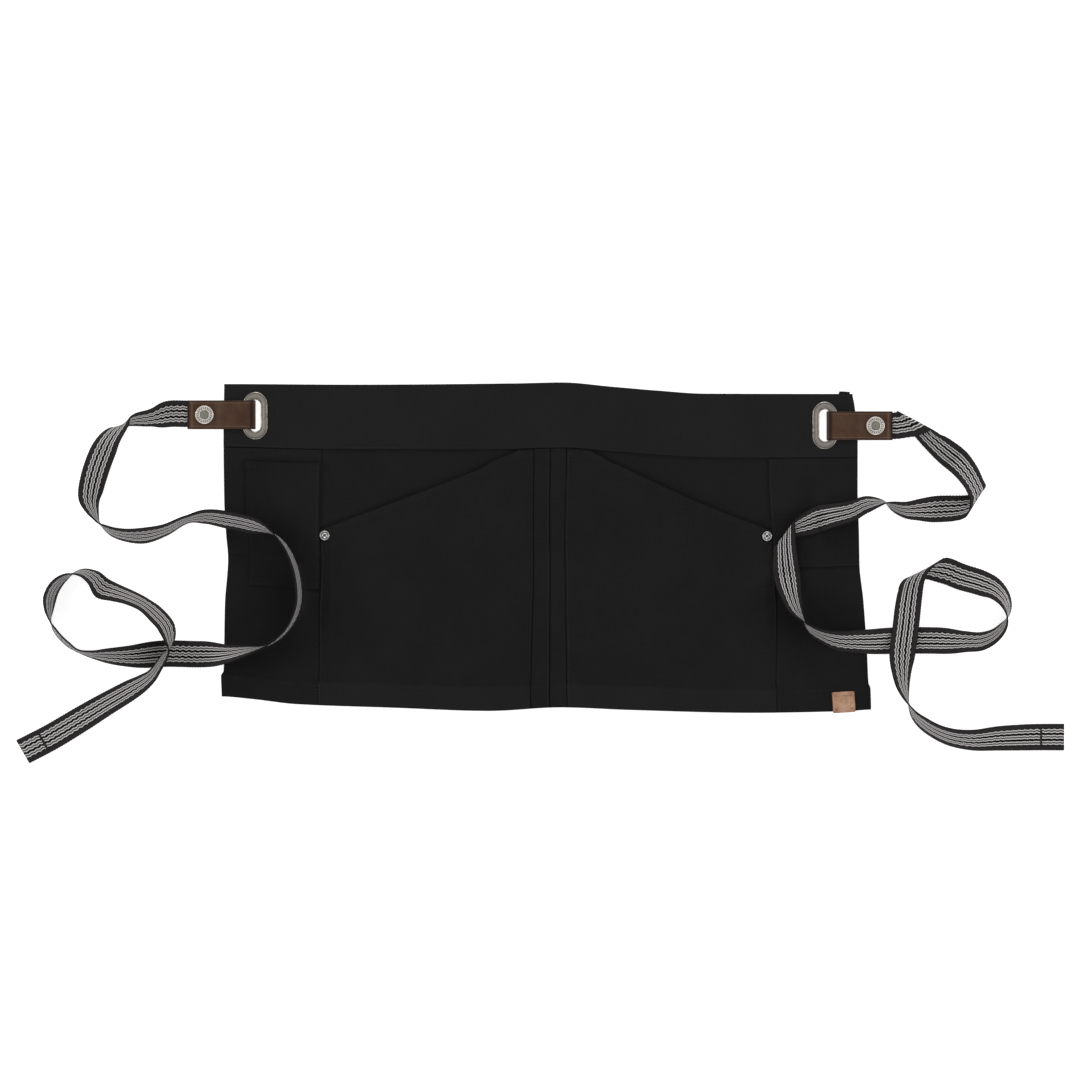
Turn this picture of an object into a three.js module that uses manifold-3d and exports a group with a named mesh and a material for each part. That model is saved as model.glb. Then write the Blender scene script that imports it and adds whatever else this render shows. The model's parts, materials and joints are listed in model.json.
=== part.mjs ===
import * as THREE from 'three';
import { mergeVertices } from 'three/addons/utils/BufferGeometryUtils.js';
import Module from 'manifold-3d';

// A waist apron lying face up. Millimetres, +Z up, +X to the right, +Y towards the waist.
// The origin is the middle of the panel's underside.

// Cloth
const apronWidth = 610;
const apronHeight = 305;
const clothThickness = 1.0;
const hemThickness = 2.0;
const hemHeight = 21;
const hemSlope = 3;
const waistbandHeight = 61.2;
const waistbandThickness = 2.9;
const tuckThickness = 1.6;
const mouthHemHeight = 9;
const mouthHemThickness = 1.5;
const pencilPocketHeight = 121;
const pencilPocketDrop = 74;
const pencilPocketInset = 20.5;
const facingHeight = 105;

// Hardware
const eyeletWidth = 23.2;
const eyeletHeight = 45.2;
const eyeletHoleWidth = 10.9;
const eyeletHoleHeight = 30.8;
const eyeletInset = 30;
const eyeletDrop = 30.1;
const eyeletFlange = 0.9;
const eyeletWasher = 0.6;
const eyeletWall = 0.6;
const snapDiameter = 17.5;
const snapRise = 2.1;
const snapPostDiameter = 5;
const snapInset = 16.2;
const rivetDiameter = 9.5;
const rivetRise = 1.5;
const rivetPostDiameter = 3;
const rivetInset = 4;
const rivetDrop = 6.3;

// Leather
const tabWidth = 27.5;
const tabThickness = 1.5;
const labelWidth = 21.4;
const labelHeight = 20;
const labelThickness = 1.2;
const labelInset = 15;
const labelOverhang = 1.3;
const labelTurn = 3.5;

// Ties
const tieWidth = 25.4;
const tieThickness = 1.3;
const tieHidden = 27;
const laySize = 1000;

// Space between pieces that touch, and around posts
const gap = 0.3;
const seamGap = 0.8;
const rivetClear = 1.2;

const wasm = await Module();
wasm.setup();

const clamp01 = (x) => Math.min(1, Math.max(0, x));
const mix = (a, b, t) => a + (b - a) * t;

// Value of a table's column at a place along another column, on straight lines between its rows
function readTable(rows, alongKey, valueKey, at) {
  const rising = rows[rows.length - 1][alongKey] > rows[0][alongKey];
  let i = 0;
  while (i < rows.length - 2 && (rising ? rows[i + 1][alongKey] < at : rows[i + 1][alongKey] > at)) i += 1;
  const a = rows[i];
  const b = rows[i + 1];
  return mix(a[valueKey], b[valueKey], clamp01((at - a[alongKey]) / (b[alongKey] - a[alongKey])));
}

// The panel's four edges, as shares of apronWidth and apronHeight from the origin
const waistEdge = [
  { across: -0.504, up: 0.509 },
  { across: -0.3, up: 0.507 },
  { across: -0.05, up: 0.511 },
  { across: 0.023, up: 0.514 },
  { across: 0.1, up: 0.501 },
  { across: 0.17, up: 0.489 },
  { across: 0.248, up: 0.479 },
  { across: 0.477, up: 0.478 },
];
const hemEdge = [
  { across: -0.508, up: -0.467 },
  { across: -0.46, up: -0.475 },
  { across: -0.39, up: -0.491 },
  { across: -0.24, up: -0.502 },
  { across: -0.09, up: -0.512 },
  { across: 0.02, up: -0.501 },
  { across: 0.13, up: -0.509 },
  { across: 0.32, up: -0.518 },
  { across: 0.47, up: -0.5125 },
  { across: 0.506, up: -0.508 },
];
const leftEdge = [
  { up: -0.467, across: -0.508 },
  { up: -0.401, across: -0.509 },
  { up: -0.388, across: -0.505 },
  { up: -0.18, across: -0.503 },
  { up: -0.034, across: -0.498 },
  { up: 0.04, across: -0.501 },
  { up: 0.15, across: -0.504 },
  { up: 0.35, across: -0.505 },
  { up: 0.509, across: -0.504 },
];
const rightEdge = [
  { up: -0.508, across: 0.506 },
  { up: -0.44, across: 0.505 },
  { up: -0.425, across: 0.502 },
  { up: -0.34, across: 0.5 },
  { up: -0.165, across: 0.494 },
  { up: -0.056, across: 0.488 },
  { up: 0.05, across: 0.487 },
  { up: 0.18, across: 0.485 },
  { up: 0.33, across: 0.485 },
  { up: 0.443, across: 0.48 },
  { up: 0.478, across: 0.477 },
];

// A place on the panel: across runs 0 to 1 from the left edge to the right,
// up runs 0 to 1 from the hem to the waist
function onPanel(across, up) {
  const edgePoint = (rows, alongKey, otherKey, share) => {
    const along = mix(rows[0][alongKey], rows[rows.length - 1][alongKey], share);
    const other = readTable(rows, alongKey, otherKey, along);
    return alongKey === 'across' ? [along, other] : [other, along];
  };
  const low = edgePoint(hemEdge, 'across', 'up', across);
  const high = edgePoint(waistEdge, 'across', 'up', across);
  const left = edgePoint(leftEdge, 'up', 'across', up);
  const right = edgePoint(rightEdge, 'up', 'across', up);
  const corner = (rows, last) => {
    const row = rows[last ? rows.length - 1 : 0];
    return [row.across, row.up];
  };
  const point = [0, 1].map(
    (k) =>
      mix(low[k], high[k], up) +
      mix(left[k], right[k], across) -
      mix(
        mix(corner(hemEdge, false)[k], corner(hemEdge, true)[k], across),
        mix(corner(waistEdge, false)[k], corner(waistEdge, true)[k], across),
        up,
      ),
  );
  return { x: point[0] * apronWidth, y: point[1] * apronHeight };
}

// Heights on the panel as shares of its height
const hemUp = hemHeight / apronHeight;
const waistUp = 1 - waistbandHeight / apronHeight;
const seamUp = waistUp - seamGap / apronHeight;
const bandEnd = 0.115;
const facingUp = waistUp - facingHeight / apronHeight;
const pencilTopUp = 1 - pencilPocketDrop / apronHeight;
const pencilLowUp = pencilTopUp - pencilPocketHeight / apronHeight;

// The seams that run down the apron, as shares of the way across, at the waistband, half way and at the hem
const seams = {
  left: { waist: 0.154, middle: 0.147, hem: 0.148 },
  tuckLeft: { waist: 0.4895, middle: 0.483, hem: 0.476 },
  tuckMiddle: { waist: 0.515, middle: 0.509, hem: 0.505 },
  tuckRight: { waist: 0.541, middle: 0.533, hem: 0.532 },
  right: { waist: 0.859, middle: 0.864, hem: 0.855 },
};

function seamAt(name, up, offset = 0) {
  const seam = seams[name];
  const middleUp = waistUp / 2;
  const share =
    up > middleUp
      ? mix(seam.middle, seam.waist, (up - middleUp) / (waistUp - middleUp))
      : mix(seam.hem, seam.middle, up / middleUp);
  return share + offset / apronWidth;
}

// The cloth lies flat but for its two top corners, which the tabs' back leaves
// and the washers hold off the table
const cornerLift = tabThickness + gap + eyeletWasher + gap;
const liftFromSide = [
  { across: 0, share: 1 },
  { across: 0.09, share: 1 },
  { across: 0.115, share: 0.7 },
  { across: 0.14, share: 0.1 },
  { across: 0.16, share: 0 },
];
const liftFromHem = [
  { up: 0, share: 0 },
  { up: 0.68, share: 0 },
  { up: 0.71, share: 0.15 },
  { up: 0.77, share: 0.85 },
  { up: 0.8, share: 1 },
  { up: 1, share: 1 },
];

function lift(across, up) {
  const fromSide = Math.min(across, 1 - across);
  return (
    cornerLift *
    readTable(liftFromSide, 'across', 'share', fromSide) *
    readTable(liftFromHem, 'up', 'share', up)
  );
}

// Extra height of the turned hem, which the pockets ride over
const hemRise = (up) =>
  (hemThickness - clothThickness) * clamp01(1 - ((up - hemUp) * apronHeight) / hemSlope);
const panelTop = (across, up) => lift(across, up) + clothThickness + hemRise(up);

// A closed mesh from rows of corners, each row running around the piece's section or along its surface
function closedMesh(points, triangles) {
  const geometry = new THREE.BufferGeometry();
  geometry.setAttribute('position', new THREE.Float32BufferAttribute(points.flat(), 3));
  geometry.setIndex(triangles.flat());
  return geometry;
}

// A sheet of cloth over a grid of places, each with its own underside and thickness
function clothSheet({ columns, rows, place, underside, thickness }) {
  const points = [];
  const triangles = [];
  const across = columns.length;
  const count = across * rows.length;
  for (const side of [0, 1]) {
    for (const row of rows) {
      for (const column of columns) {
        const at = place(column, row);
        const { x, y } = onPanel(at.across, at.up);
        points.push([x, y, underside(at) + side * thickness(at, row)]);
      }
    }
  }
  for (let j = 0; j < rows.length - 1; j += 1) {
    for (let i = 0; i < across - 1; i += 1) {
      const a = j * across + i;
      const [b, c, d] = [a + 1, a + across + 1, a + across];
      triangles.push([a, c, b], [a, d, c]);
      triangles.push([a + count, b + count, c + count], [a + count, c + count, d + count]);
    }
  }
  const rim = [];
  for (let i = 0; i < across; i += 1) rim.push(i);
  for (let j = 1; j < rows.length; j += 1) rim.push(j * across + across - 1);
  for (let i = across - 2; i >= 0; i -= 1) rim.push((rows.length - 1) * across + i);
  for (let j = rows.length - 2; j > 0; j -= 1) rim.push(j * across);
  rim.forEach((a, i) => {
    const b = rim[(i + 1) % rim.length];
    triangles.push([a, b, b + count], [a, b + count, a + count]);
  });
  return closedMesh(points, triangles);
}

// An upright prism over an outline
function prism(outline, low, high) {
  const shape = new THREE.Shape(outline);
  const geometry = new THREE.ExtrudeGeometry(shape, { depth: high - low, bevelEnabled: false });
  return geometry.translate(0, 0, low);
}

function ovalOutline(width, height, segments) {
  const radius = width / 2;
  const straight = height / 2 - radius;
  const points = [];
  for (let i = 0; i < segments; i += 1) {
    const angle = ((i + 0.5) / segments) * Math.PI * 2;
    const up = Math.sin(angle) > 0 ? straight : -straight;
    points.push(new THREE.Vector2(radius * Math.cos(angle), radius * Math.sin(angle) + up));
  }
  return points;
}

const toSolid = (geometry) => {
  const bare = geometry.clone();
  bare.deleteAttribute('normal');
  bare.deleteAttribute('uv');
  const merged = mergeVertices(bare, 1e-4);
  return new wasm.Manifold(
    new wasm.Mesh({
      numProp: 3,
      vertProperties: new Float32Array(merged.attributes.position.array),
      triVerts: new Uint32Array(merged.index.array),
    }),
  );
};

const toGeometry = (solid) => {
  const mesh = solid.getMesh();
  const geometry = new THREE.BufferGeometry();
  geometry.setAttribute('position', new THREE.Float32BufferAttribute(mesh.vertProperties, 3));
  geometry.setIndex(Array.from(mesh.triVerts));
  return geometry;
};

function cutHoles(geometry, holes) {
  const solid = holes.reduce((left, hole) => left.subtract(toSolid(hole)), toSolid(geometry));
  return toGeometry(solid);
}

// Materials
const canvas = { color: 0x1e1e1e, roughness: 0.92, metalness: 0 };
const bandCanvas = { color: 0x222222, roughness: 0.92, metalness: 0 };
const leather = { color: 0x4b3226, roughness: 0.6, metalness: 0 };
const tanLeather = { color: 0xbe7d50, roughness: 0.6, metalness: 0 };
const nickel = { color: 0x968c84, roughness: 0.35, metalness: 1 };
const brightNickel = { color: 0xc8c3b9, roughness: 0.3, metalness: 1 };
const webbing = { color: 0x4a4848, roughness: 0.85, metalness: 0 };

const apron = new THREE.Group();

function addPiece(name, geometry, finish) {
  const mesh = new THREE.Mesh(geometry, new THREE.MeshStandardMaterial(finish));
  mesh.name = name;
  apron.add(mesh);
  return mesh;
}

// Stations that every sheet shares where it lies on a lifted corner
const sideStations = liftFromSide.map((row) => row.across);
const upStations = [0.74, 0.84, 0.88, 0.93].concat(liftFromHem.slice(1, -1).map((row) => row.up));
const inOrder = (values) => [...new Set(values)].sort((a, b) => a - b);

function stationsBetween(stations, low, high) {
  return [low, ...inOrder(stations).filter((value) => value > low + 0.004 && value < high - 0.004), high];
}

const panelColumns = inOrder([
  ...sideStations,
  0.03,
  0.06,
  0.2,
  0.27,
  0.34,
  0.41,
  0.475,
  0.54,
  0.6,
  0.66,
  0.73,
  0.79,
  0.94,
  0.97,
  ...sideStations.map((share) => 1 - share),
]);
const panelTopUp = waistUp - gap / apronHeight;
const panelRows = stationsBetween(
  [hemUp, hemUp + hemSlope / apronHeight, 0.2, 0.32, 0.44, 0.5, 0.58, ...upStations],
  0,
  panelTopUp,
);

// Centres of the hardware
function sideSpot(side, inset, up) {
  const edge = onPanel(side < 0 ? 0 : 1, up);
  return { x: edge.x - side * inset, y: edge.y };
}

function bandSpot(side) {
  const across = (share) => (side < 0 ? share : 1 - share);
  const edge = sideSpot(side, eyeletInset, 1 - eyeletDrop / apronHeight);
  const top = onPanel(across(eyeletInset / apronWidth), 1);
  return { x: edge.x, y: top.y - eyeletDrop };
}

const sides = [
  { name: 'left', side: -1, eyelet: bandSpot(-1), bendPast: 0.4, tabLength: 65, tabDrop: -0.9 },
  { name: 'right', side: 1, eyelet: bandSpot(1), bendPast: -1.6, tabLength: 63, tabDrop: 0.3 },
];

// Pocket mouths: across as a share between the pocket's two seams,
// up as a share from the hem to the waistband
const leftMouth = [
  { across: 0, up: 0.69 },
  { across: 0.75, up: 0.932 },
  { across: 0.81, up: 0.962 },
  { across: 0.86, up: 0.978 },
  { across: 0.93, up: 1 },
  { across: 1, up: 1 },
];
const rightMouth = [
  { across: 0, up: 1 },
  { across: 0.11, up: 1 },
  { across: 0.165, up: 0.985 },
  { across: 0.215, up: 0.964 },
  { across: 0.26, up: 0.953 },
  { across: 1, up: 0.72 },
];

const pockets = [
  { name: 'left', outer: 'left', from: 'left', to: 'tuckLeft', mouth: leftMouth, inward: 1 },
  { name: 'right', outer: 'right', from: 'tuckRight', to: 'right', mouth: rightMouth, inward: -1 },
];

function rivetSpot(pocket) {
  const up = readTable(pocket.mouth, 'across', 'up', pocket.inward > 0 ? 0 : 1) * seamUp;
  const corner = onPanel(seamAt(pocket.outer, up), up);
  return { x: corner.x + pocket.inward * rivetInset, y: corner.y - rivetDrop };
}

const throughAll = 60;
const holeAt = (outline, spot) => prism(outline, -throughAll, throughAll).translate(spot.x, spot.y, 0);
const roundHole = (diameter, spot) => holeAt(ovalOutline(diameter, diameter, 12), spot);
const clothHoleWidth = eyeletHoleWidth + 2 * (eyeletWall + gap);
const clothHoleHeight = eyeletHoleHeight + 2 * (eyeletWall + gap);
const clothHole = ovalOutline(clothHoleWidth, clothHoleHeight, 16);
const eyeletHoles = sides.map(({ eyelet }) => holeAt(clothHole, eyelet));
const rivetHoles = pockets.map((pocket) => roundHole(rivetPostDiameter + 2 * gap, rivetSpot(pocket)));

function makePanel() {
  const sheet = clothSheet({
    columns: panelColumns,
    rows: panelRows,
    place: (across, up) => ({ across, up }),
    underside: (at) => lift(at.across, at.up),
    thickness: (at) => clothThickness + hemRise(at.up),
  });
  addPiece('apron_panel', cutHoles(sheet, rivetHoles), canvas);
}

// The doubled band that the panel hangs from. Its two ends, which hold the eyelets, are pieces of their own.
function makeWaistband() {
  const apart = gap / apronWidth;
  const parts = [
    { name: 'waistband_end_left', from: 0, to: bandEnd, holes: [eyeletHoles[0]] },
    { name: 'waistband', from: bandEnd + apart, to: 1 - bandEnd - apart, holes: [] },
    { name: 'waistband_end_right', from: 1 - bandEnd, to: 1, holes: [eyeletHoles[1]] },
  ];
  for (const { name, from, to, holes } of parts) {
    const sheet = clothSheet({
      columns: stationsBetween(panelColumns, from, to),
      rows: stationsBetween(upStations, waistUp, 1),
      place: (across, up) => ({ across, up }),
      underside: (at) => lift(at.across, at.up),
      thickness: () => waistbandThickness,
    });
    addPiece(name, cutHoles(sheet, holes), bandCanvas);
  }
}

function makeSideFacings() {
  for (const { name, side } of sides) {
    const fixed = sideStations.slice(0, -1).map((share) => () => (side < 0 ? share : 1 - share));
    const columns = [...fixed, (up) => seamAt(name, up, (side * seamGap) / 2)];
    const sheet = clothSheet({
      columns: side < 0 ? columns : columns.reverse(),
      rows: stationsBetween(upStations.concat(0.55), facingUp, seamUp),
      place: (column, up) => ({ across: column(up), up }),
      underside: (at) => panelTop(at.across, at.up) + gap,
      thickness: () => clothThickness,
    });
    addPiece('side_facing_' + name, sheet, canvas);
  }
}

function makePencilPocket() {
  const facingTop = clothThickness + gap;
  const left = pencilPocketInset / apronWidth;
  const slope = hemSlope / apronHeight;
  const mouthHemUp = pencilTopUp - mouthHemHeight / apronHeight;
  const fixed = [left, ...sideStations.slice(1, -1)].map((share) => () => share);
  const sheet = clothSheet({
    columns: [...fixed, (up) => seamAt('left', up, -rivetClear)],
    rows: inOrder([
      pencilLowUp,
      facingUp - slope,
      facingUp,
      ...upStations.filter((up) => up < pencilTopUp),
      mouthHemUp,
      pencilTopUp,
    ]),
    place: (column, up) => ({ across: column(up), up }),
    underside: (at) =>
      panelTop(at.across, at.up) + gap + facingTop * clamp01(1 - (facingUp - at.up) / slope),
    thickness: (at) => (at.up > mouthHemUp - 0.001 ? mouthHemThickness : clothThickness),
  });
  addPiece('pencil_pocket', sheet, canvas);
}

function makeBigPockets() {
  const slope = hemSlope / apronHeight;
  const mouthHem = mouthHemHeight / apronHeight;
  for (const pocket of pockets) {
    const from = (up) => seamAt(pocket.from, up, seamGap / 2);
    const to = (up) => seamAt(pocket.to, up, -seamGap / 2);
    const mouthUp = (share) => readTable(pocket.mouth, 'across', 'up', share) * seamUp;
    const rows = [
      () => 0,
      () => hemUp,
      () => hemUp + slope,
      (top) => mix(hemUp + slope, top - mouthHem - slope, 0.35),
      (top) => mix(hemUp + slope, top - mouthHem - slope, 0.7),
      (top) => top - mouthHem - slope,
      (top) => top - mouthHem,
      (top) => top,
    ];
    const sheet = clothSheet({
      columns: inOrder([0, 0.12, 0.25, 0.38, 0.5, 0.62, ...pocket.mouth.map((row) => row.across), 0.9]),
      rows,
      place: (share, row) => {
        const up = row(mouthUp(share));
        return { across: mix(from(up), to(up), share), up };
      },
      underside: (at) => panelTop(at.across, at.up) + gap,
      thickness: (at, row) => (rows.indexOf(row) > rows.length - 3 ? mouthHemThickness : clothThickness),
    });
    addPiece('big_pocket_' + pocket.name, cutHoles(sheet, rivetHoles), canvas);
  }
}

function makeTucks() {
  const slope = hemSlope / apronHeight;
  const tucks = [
    { name: 'left', from: 'tuckLeft', to: 'tuckMiddle', thick: tuckThickness },
    { name: 'right', from: 'tuckMiddle', to: 'tuckRight', thick: clothThickness },
  ];
  for (const tuck of tucks) {
    const sheet = clothSheet({
      columns: [0, 1],
      rows: [0, hemUp, hemUp + slope, 0.2, 0.32, waistUp / 2, 0.55, 0.68, seamUp],
      place: (share, up) => ({
        across: mix(seamAt(tuck.from, up, seamGap / 2), seamAt(tuck.to, up, -seamGap / 2), share),
        up,
      }),
      underside: (at) => panelTop(at.across, at.up) + gap,
      thickness: () => tuck.thick,
    });
    addPiece('tuck_' + tuck.name, sheet, canvas);
  }
}

// Heights where the band, the eyelet and the tab lie on each other
const washerLow = tabThickness + gap;
const bandTop = cornerLift + waistbandThickness;
const flangeLow = bandTop + gap;
const flangeTop = flangeLow + eyeletFlange;

function makeEyelets() {
  const segments = 32;
  const hole = ovalOutline(eyeletHoleWidth, eyeletHoleHeight, segments);
  const rim = ovalOutline(eyeletWidth, eyeletHeight, segments);
  const flangeWidth = (eyeletWidth - eyeletHoleWidth) / 2;
  const wall = eyeletWall / flangeWidth;
  const section = [
    { out: 0, z: washerLow },
    { out: 0, z: flangeTop - 0.5 * eyeletFlange },
    { out: wall, z: flangeTop - 0.1 * eyeletFlange },
    { out: 0.5, z: flangeTop },
    { out: 0.9, z: flangeTop - 0.45 * eyeletFlange },
    { out: 1, z: flangeLow },
    { out: wall, z: flangeLow },
    { out: wall, z: washerLow + eyeletWasher },
    { out: 0.75, z: washerLow + eyeletWasher },
    { out: 0.75, z: washerLow },
  ];
  for (const { name, eyelet } of sides) {
    const points = hole.flatMap((inner, i) =>
      section.map(({ out, z }) => [
        eyelet.x + mix(inner.x, rim[i].x, out),
        eyelet.y + mix(inner.y, rim[i].y, out),
        z,
      ]),
    );
    addPiece('eyelet_' + name, ringMesh(points, section.length, segments), nickel);
  }
}

// Closed mesh of sections that follow each other round a ring
function ringMesh(points, perSection, sections) {
  const triangles = [];
  for (let i = 0; i < sections; i += 1) {
    for (let j = 0; j < perSection; j += 1) {
      const a = i * perSection + j;
      const b = i * perSection + ((j + 1) % perSection);
      const c = ((i + 1) % sections) * perSection + ((j + 1) % perSection);
      const d = ((i + 1) % sections) * perSection + j;
      triangles.push([a, b, c], [a, c, d]);
    }
  }
  return closedMesh(points, triangles);
}

// A place inside a tab, so far from its outer end
function tabSpot(part, inset) {
  const end = part.eyelet.x - part.side * part.bendPast + part.side * part.tabLength;
  return { x: end - part.side * inset, y: part.eyelet.y - part.tabDrop };
}

const snapSpot = (part) => tabSpot(part, snapInset);

// Leather strip folded through the eyelet: its side view, from the eyelet's middle outwards,
// drawn across its width
function makeTabs() {
  const webTop = tabThickness + gap + tieThickness;
  for (const part of sides) {
    const bend = -part.bendPast;
    const end = bend + part.tabLength;
    const edge = eyeletInset + gap;
    const web = end - tieHidden - 1;
    const rimOut = eyeletWidth / 2 + 2;
    const under = [
      { out: end, z: webTop + gap },
      { out: web, z: webTop + gap },
      { out: edge, z: bandTop + gap },
      { out: rimOut, z: flangeTop + gap },
      { out: bend + tabThickness + 1, z: flangeTop + gap },
      { out: bend + tabThickness, z: flangeTop + gap - 1 },
      { out: bend + tabThickness, z: tabThickness + 1 },
      { out: bend + tabThickness + 1, z: tabThickness },
      { out: end, z: tabThickness },
    ];
    const over = [
      { out: end, z: 0 },
      { out: bend + 2, z: 0 },
      { out: bend + 0.5, z: 0.5 },
      { out: bend, z: 2 },
      { out: bend, z: flangeTop + gap },
      { out: bend + 0.5, z: flangeTop + gap + tabThickness - 0.5 },
      { out: bend + 2, z: flangeTop + gap + tabThickness },
      { out: rimOut, z: flangeTop + gap + tabThickness },
      { out: edge, z: bandTop + gap + tabThickness },
      { out: web, z: webTop + gap + tabThickness },
      { out: end, z: webTop + gap + tabThickness },
    ];
    const outline = [...under, ...over].map(({ out, z }) => new THREE.Vector2(part.side * out, z));
    const shape = new THREE.Shape(outline);
    const strip = new THREE.ExtrudeGeometry(shape, { depth: tabWidth, bevelEnabled: false });
    strip.rotateX(Math.PI / 2);
    strip.translate(part.eyelet.x, part.eyelet.y - part.tabDrop + tabWidth / 2, 0);
    const hole = roundHole(snapPostDiameter + 2 * gap, snapSpot(part));
    addPiece('tab_' + part.name, cutHoles(strip, [hole]), leather);
  }
}

// A cap with its post, turned about an upright axis
function capWithPost({ diameter, postDiameter, low, seat, rise, dish }) {
  const radius = diameter / 2;
  const profile = [
    { r: 0, z: low },
    { r: postDiameter / 2, z: low },
    { r: postDiameter / 2, z: seat },
    { r: radius - 0.4, z: seat },
    { r: radius, z: seat + 0.25 * rise },
    { r: 0.93 * radius, z: seat + 0.7 * rise },
    { r: 0.75 * radius, z: seat + rise },
    { r: 0.6 * radius, z: seat + rise },
    { r: 0.5 * radius, z: seat + dish * rise },
    { r: 0, z: seat + dish * rise },
  ];
  const turned = new THREE.LatheGeometry(profile.map(({ r, z }) => new THREE.Vector2(r, z)), 20);
  return turned.rotateX(Math.PI / 2);
}

function makeSnaps() {
  const seat = tabThickness + gap + tieThickness + gap + tabThickness + gap;
  for (const part of sides) {
    const spot = snapSpot(part);
    const cap = capWithPost({
      diameter: snapDiameter,
      postDiameter: snapPostDiameter,
      low: gap,
      seat,
      rise: snapRise,
      dish: 0.7,
    });
    addPiece('snap_' + part.name, cap.translate(spot.x, spot.y, 0), brightNickel);
  }
}

function makePocketRivets() {
  const seat = clothThickness + gap + mouthHemThickness + gap;
  for (const pocket of pockets) {
    const spot = rivetSpot(pocket);
    const cap = capWithPost({
      diameter: rivetDiameter,
      postDiameter: rivetPostDiameter,
      low: gap,
      seat,
      rise: rivetRise,
      dish: 0.8,
    });
    addPiece('pocket_rivet_' + pocket.name, cap.translate(spot.x, spot.y, 0), brightNickel);
  }
}

function makeLabel() {
  const corner = onPanel(1 - (labelInset + labelWidth / 2) / apronWidth, 0);
  const outline = [
    new THREE.Vector2(-labelWidth / 2, -labelHeight / 2),
    new THREE.Vector2(labelWidth / 2, -labelHeight / 2),
    new THREE.Vector2(labelWidth / 2, labelHeight / 2),
    new THREE.Vector2(-labelWidth / 2, labelHeight / 2),
  ];
  const low = hemThickness + gap;
  const label = prism(outline, low, low + labelThickness);
  label.rotateZ((labelTurn * Math.PI) / 180);
  addPiece('label', label.translate(corner.x, corner.y + labelHeight / 2 - labelOverhang, 0), tanLeather);
}

// Heights that the ties rest at
const restHeights = {
  tab: tabThickness + gap,
  floor: 0,
  panel: clothThickness + gap,
  facing: 2 * (clothThickness + gap) + 0.2,
  pocket: 3 * (clothThickness + gap) + 0.6,
  tie: tieThickness + gap,
  tippedTie: 3 * tieThickness + gap,
};

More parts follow.
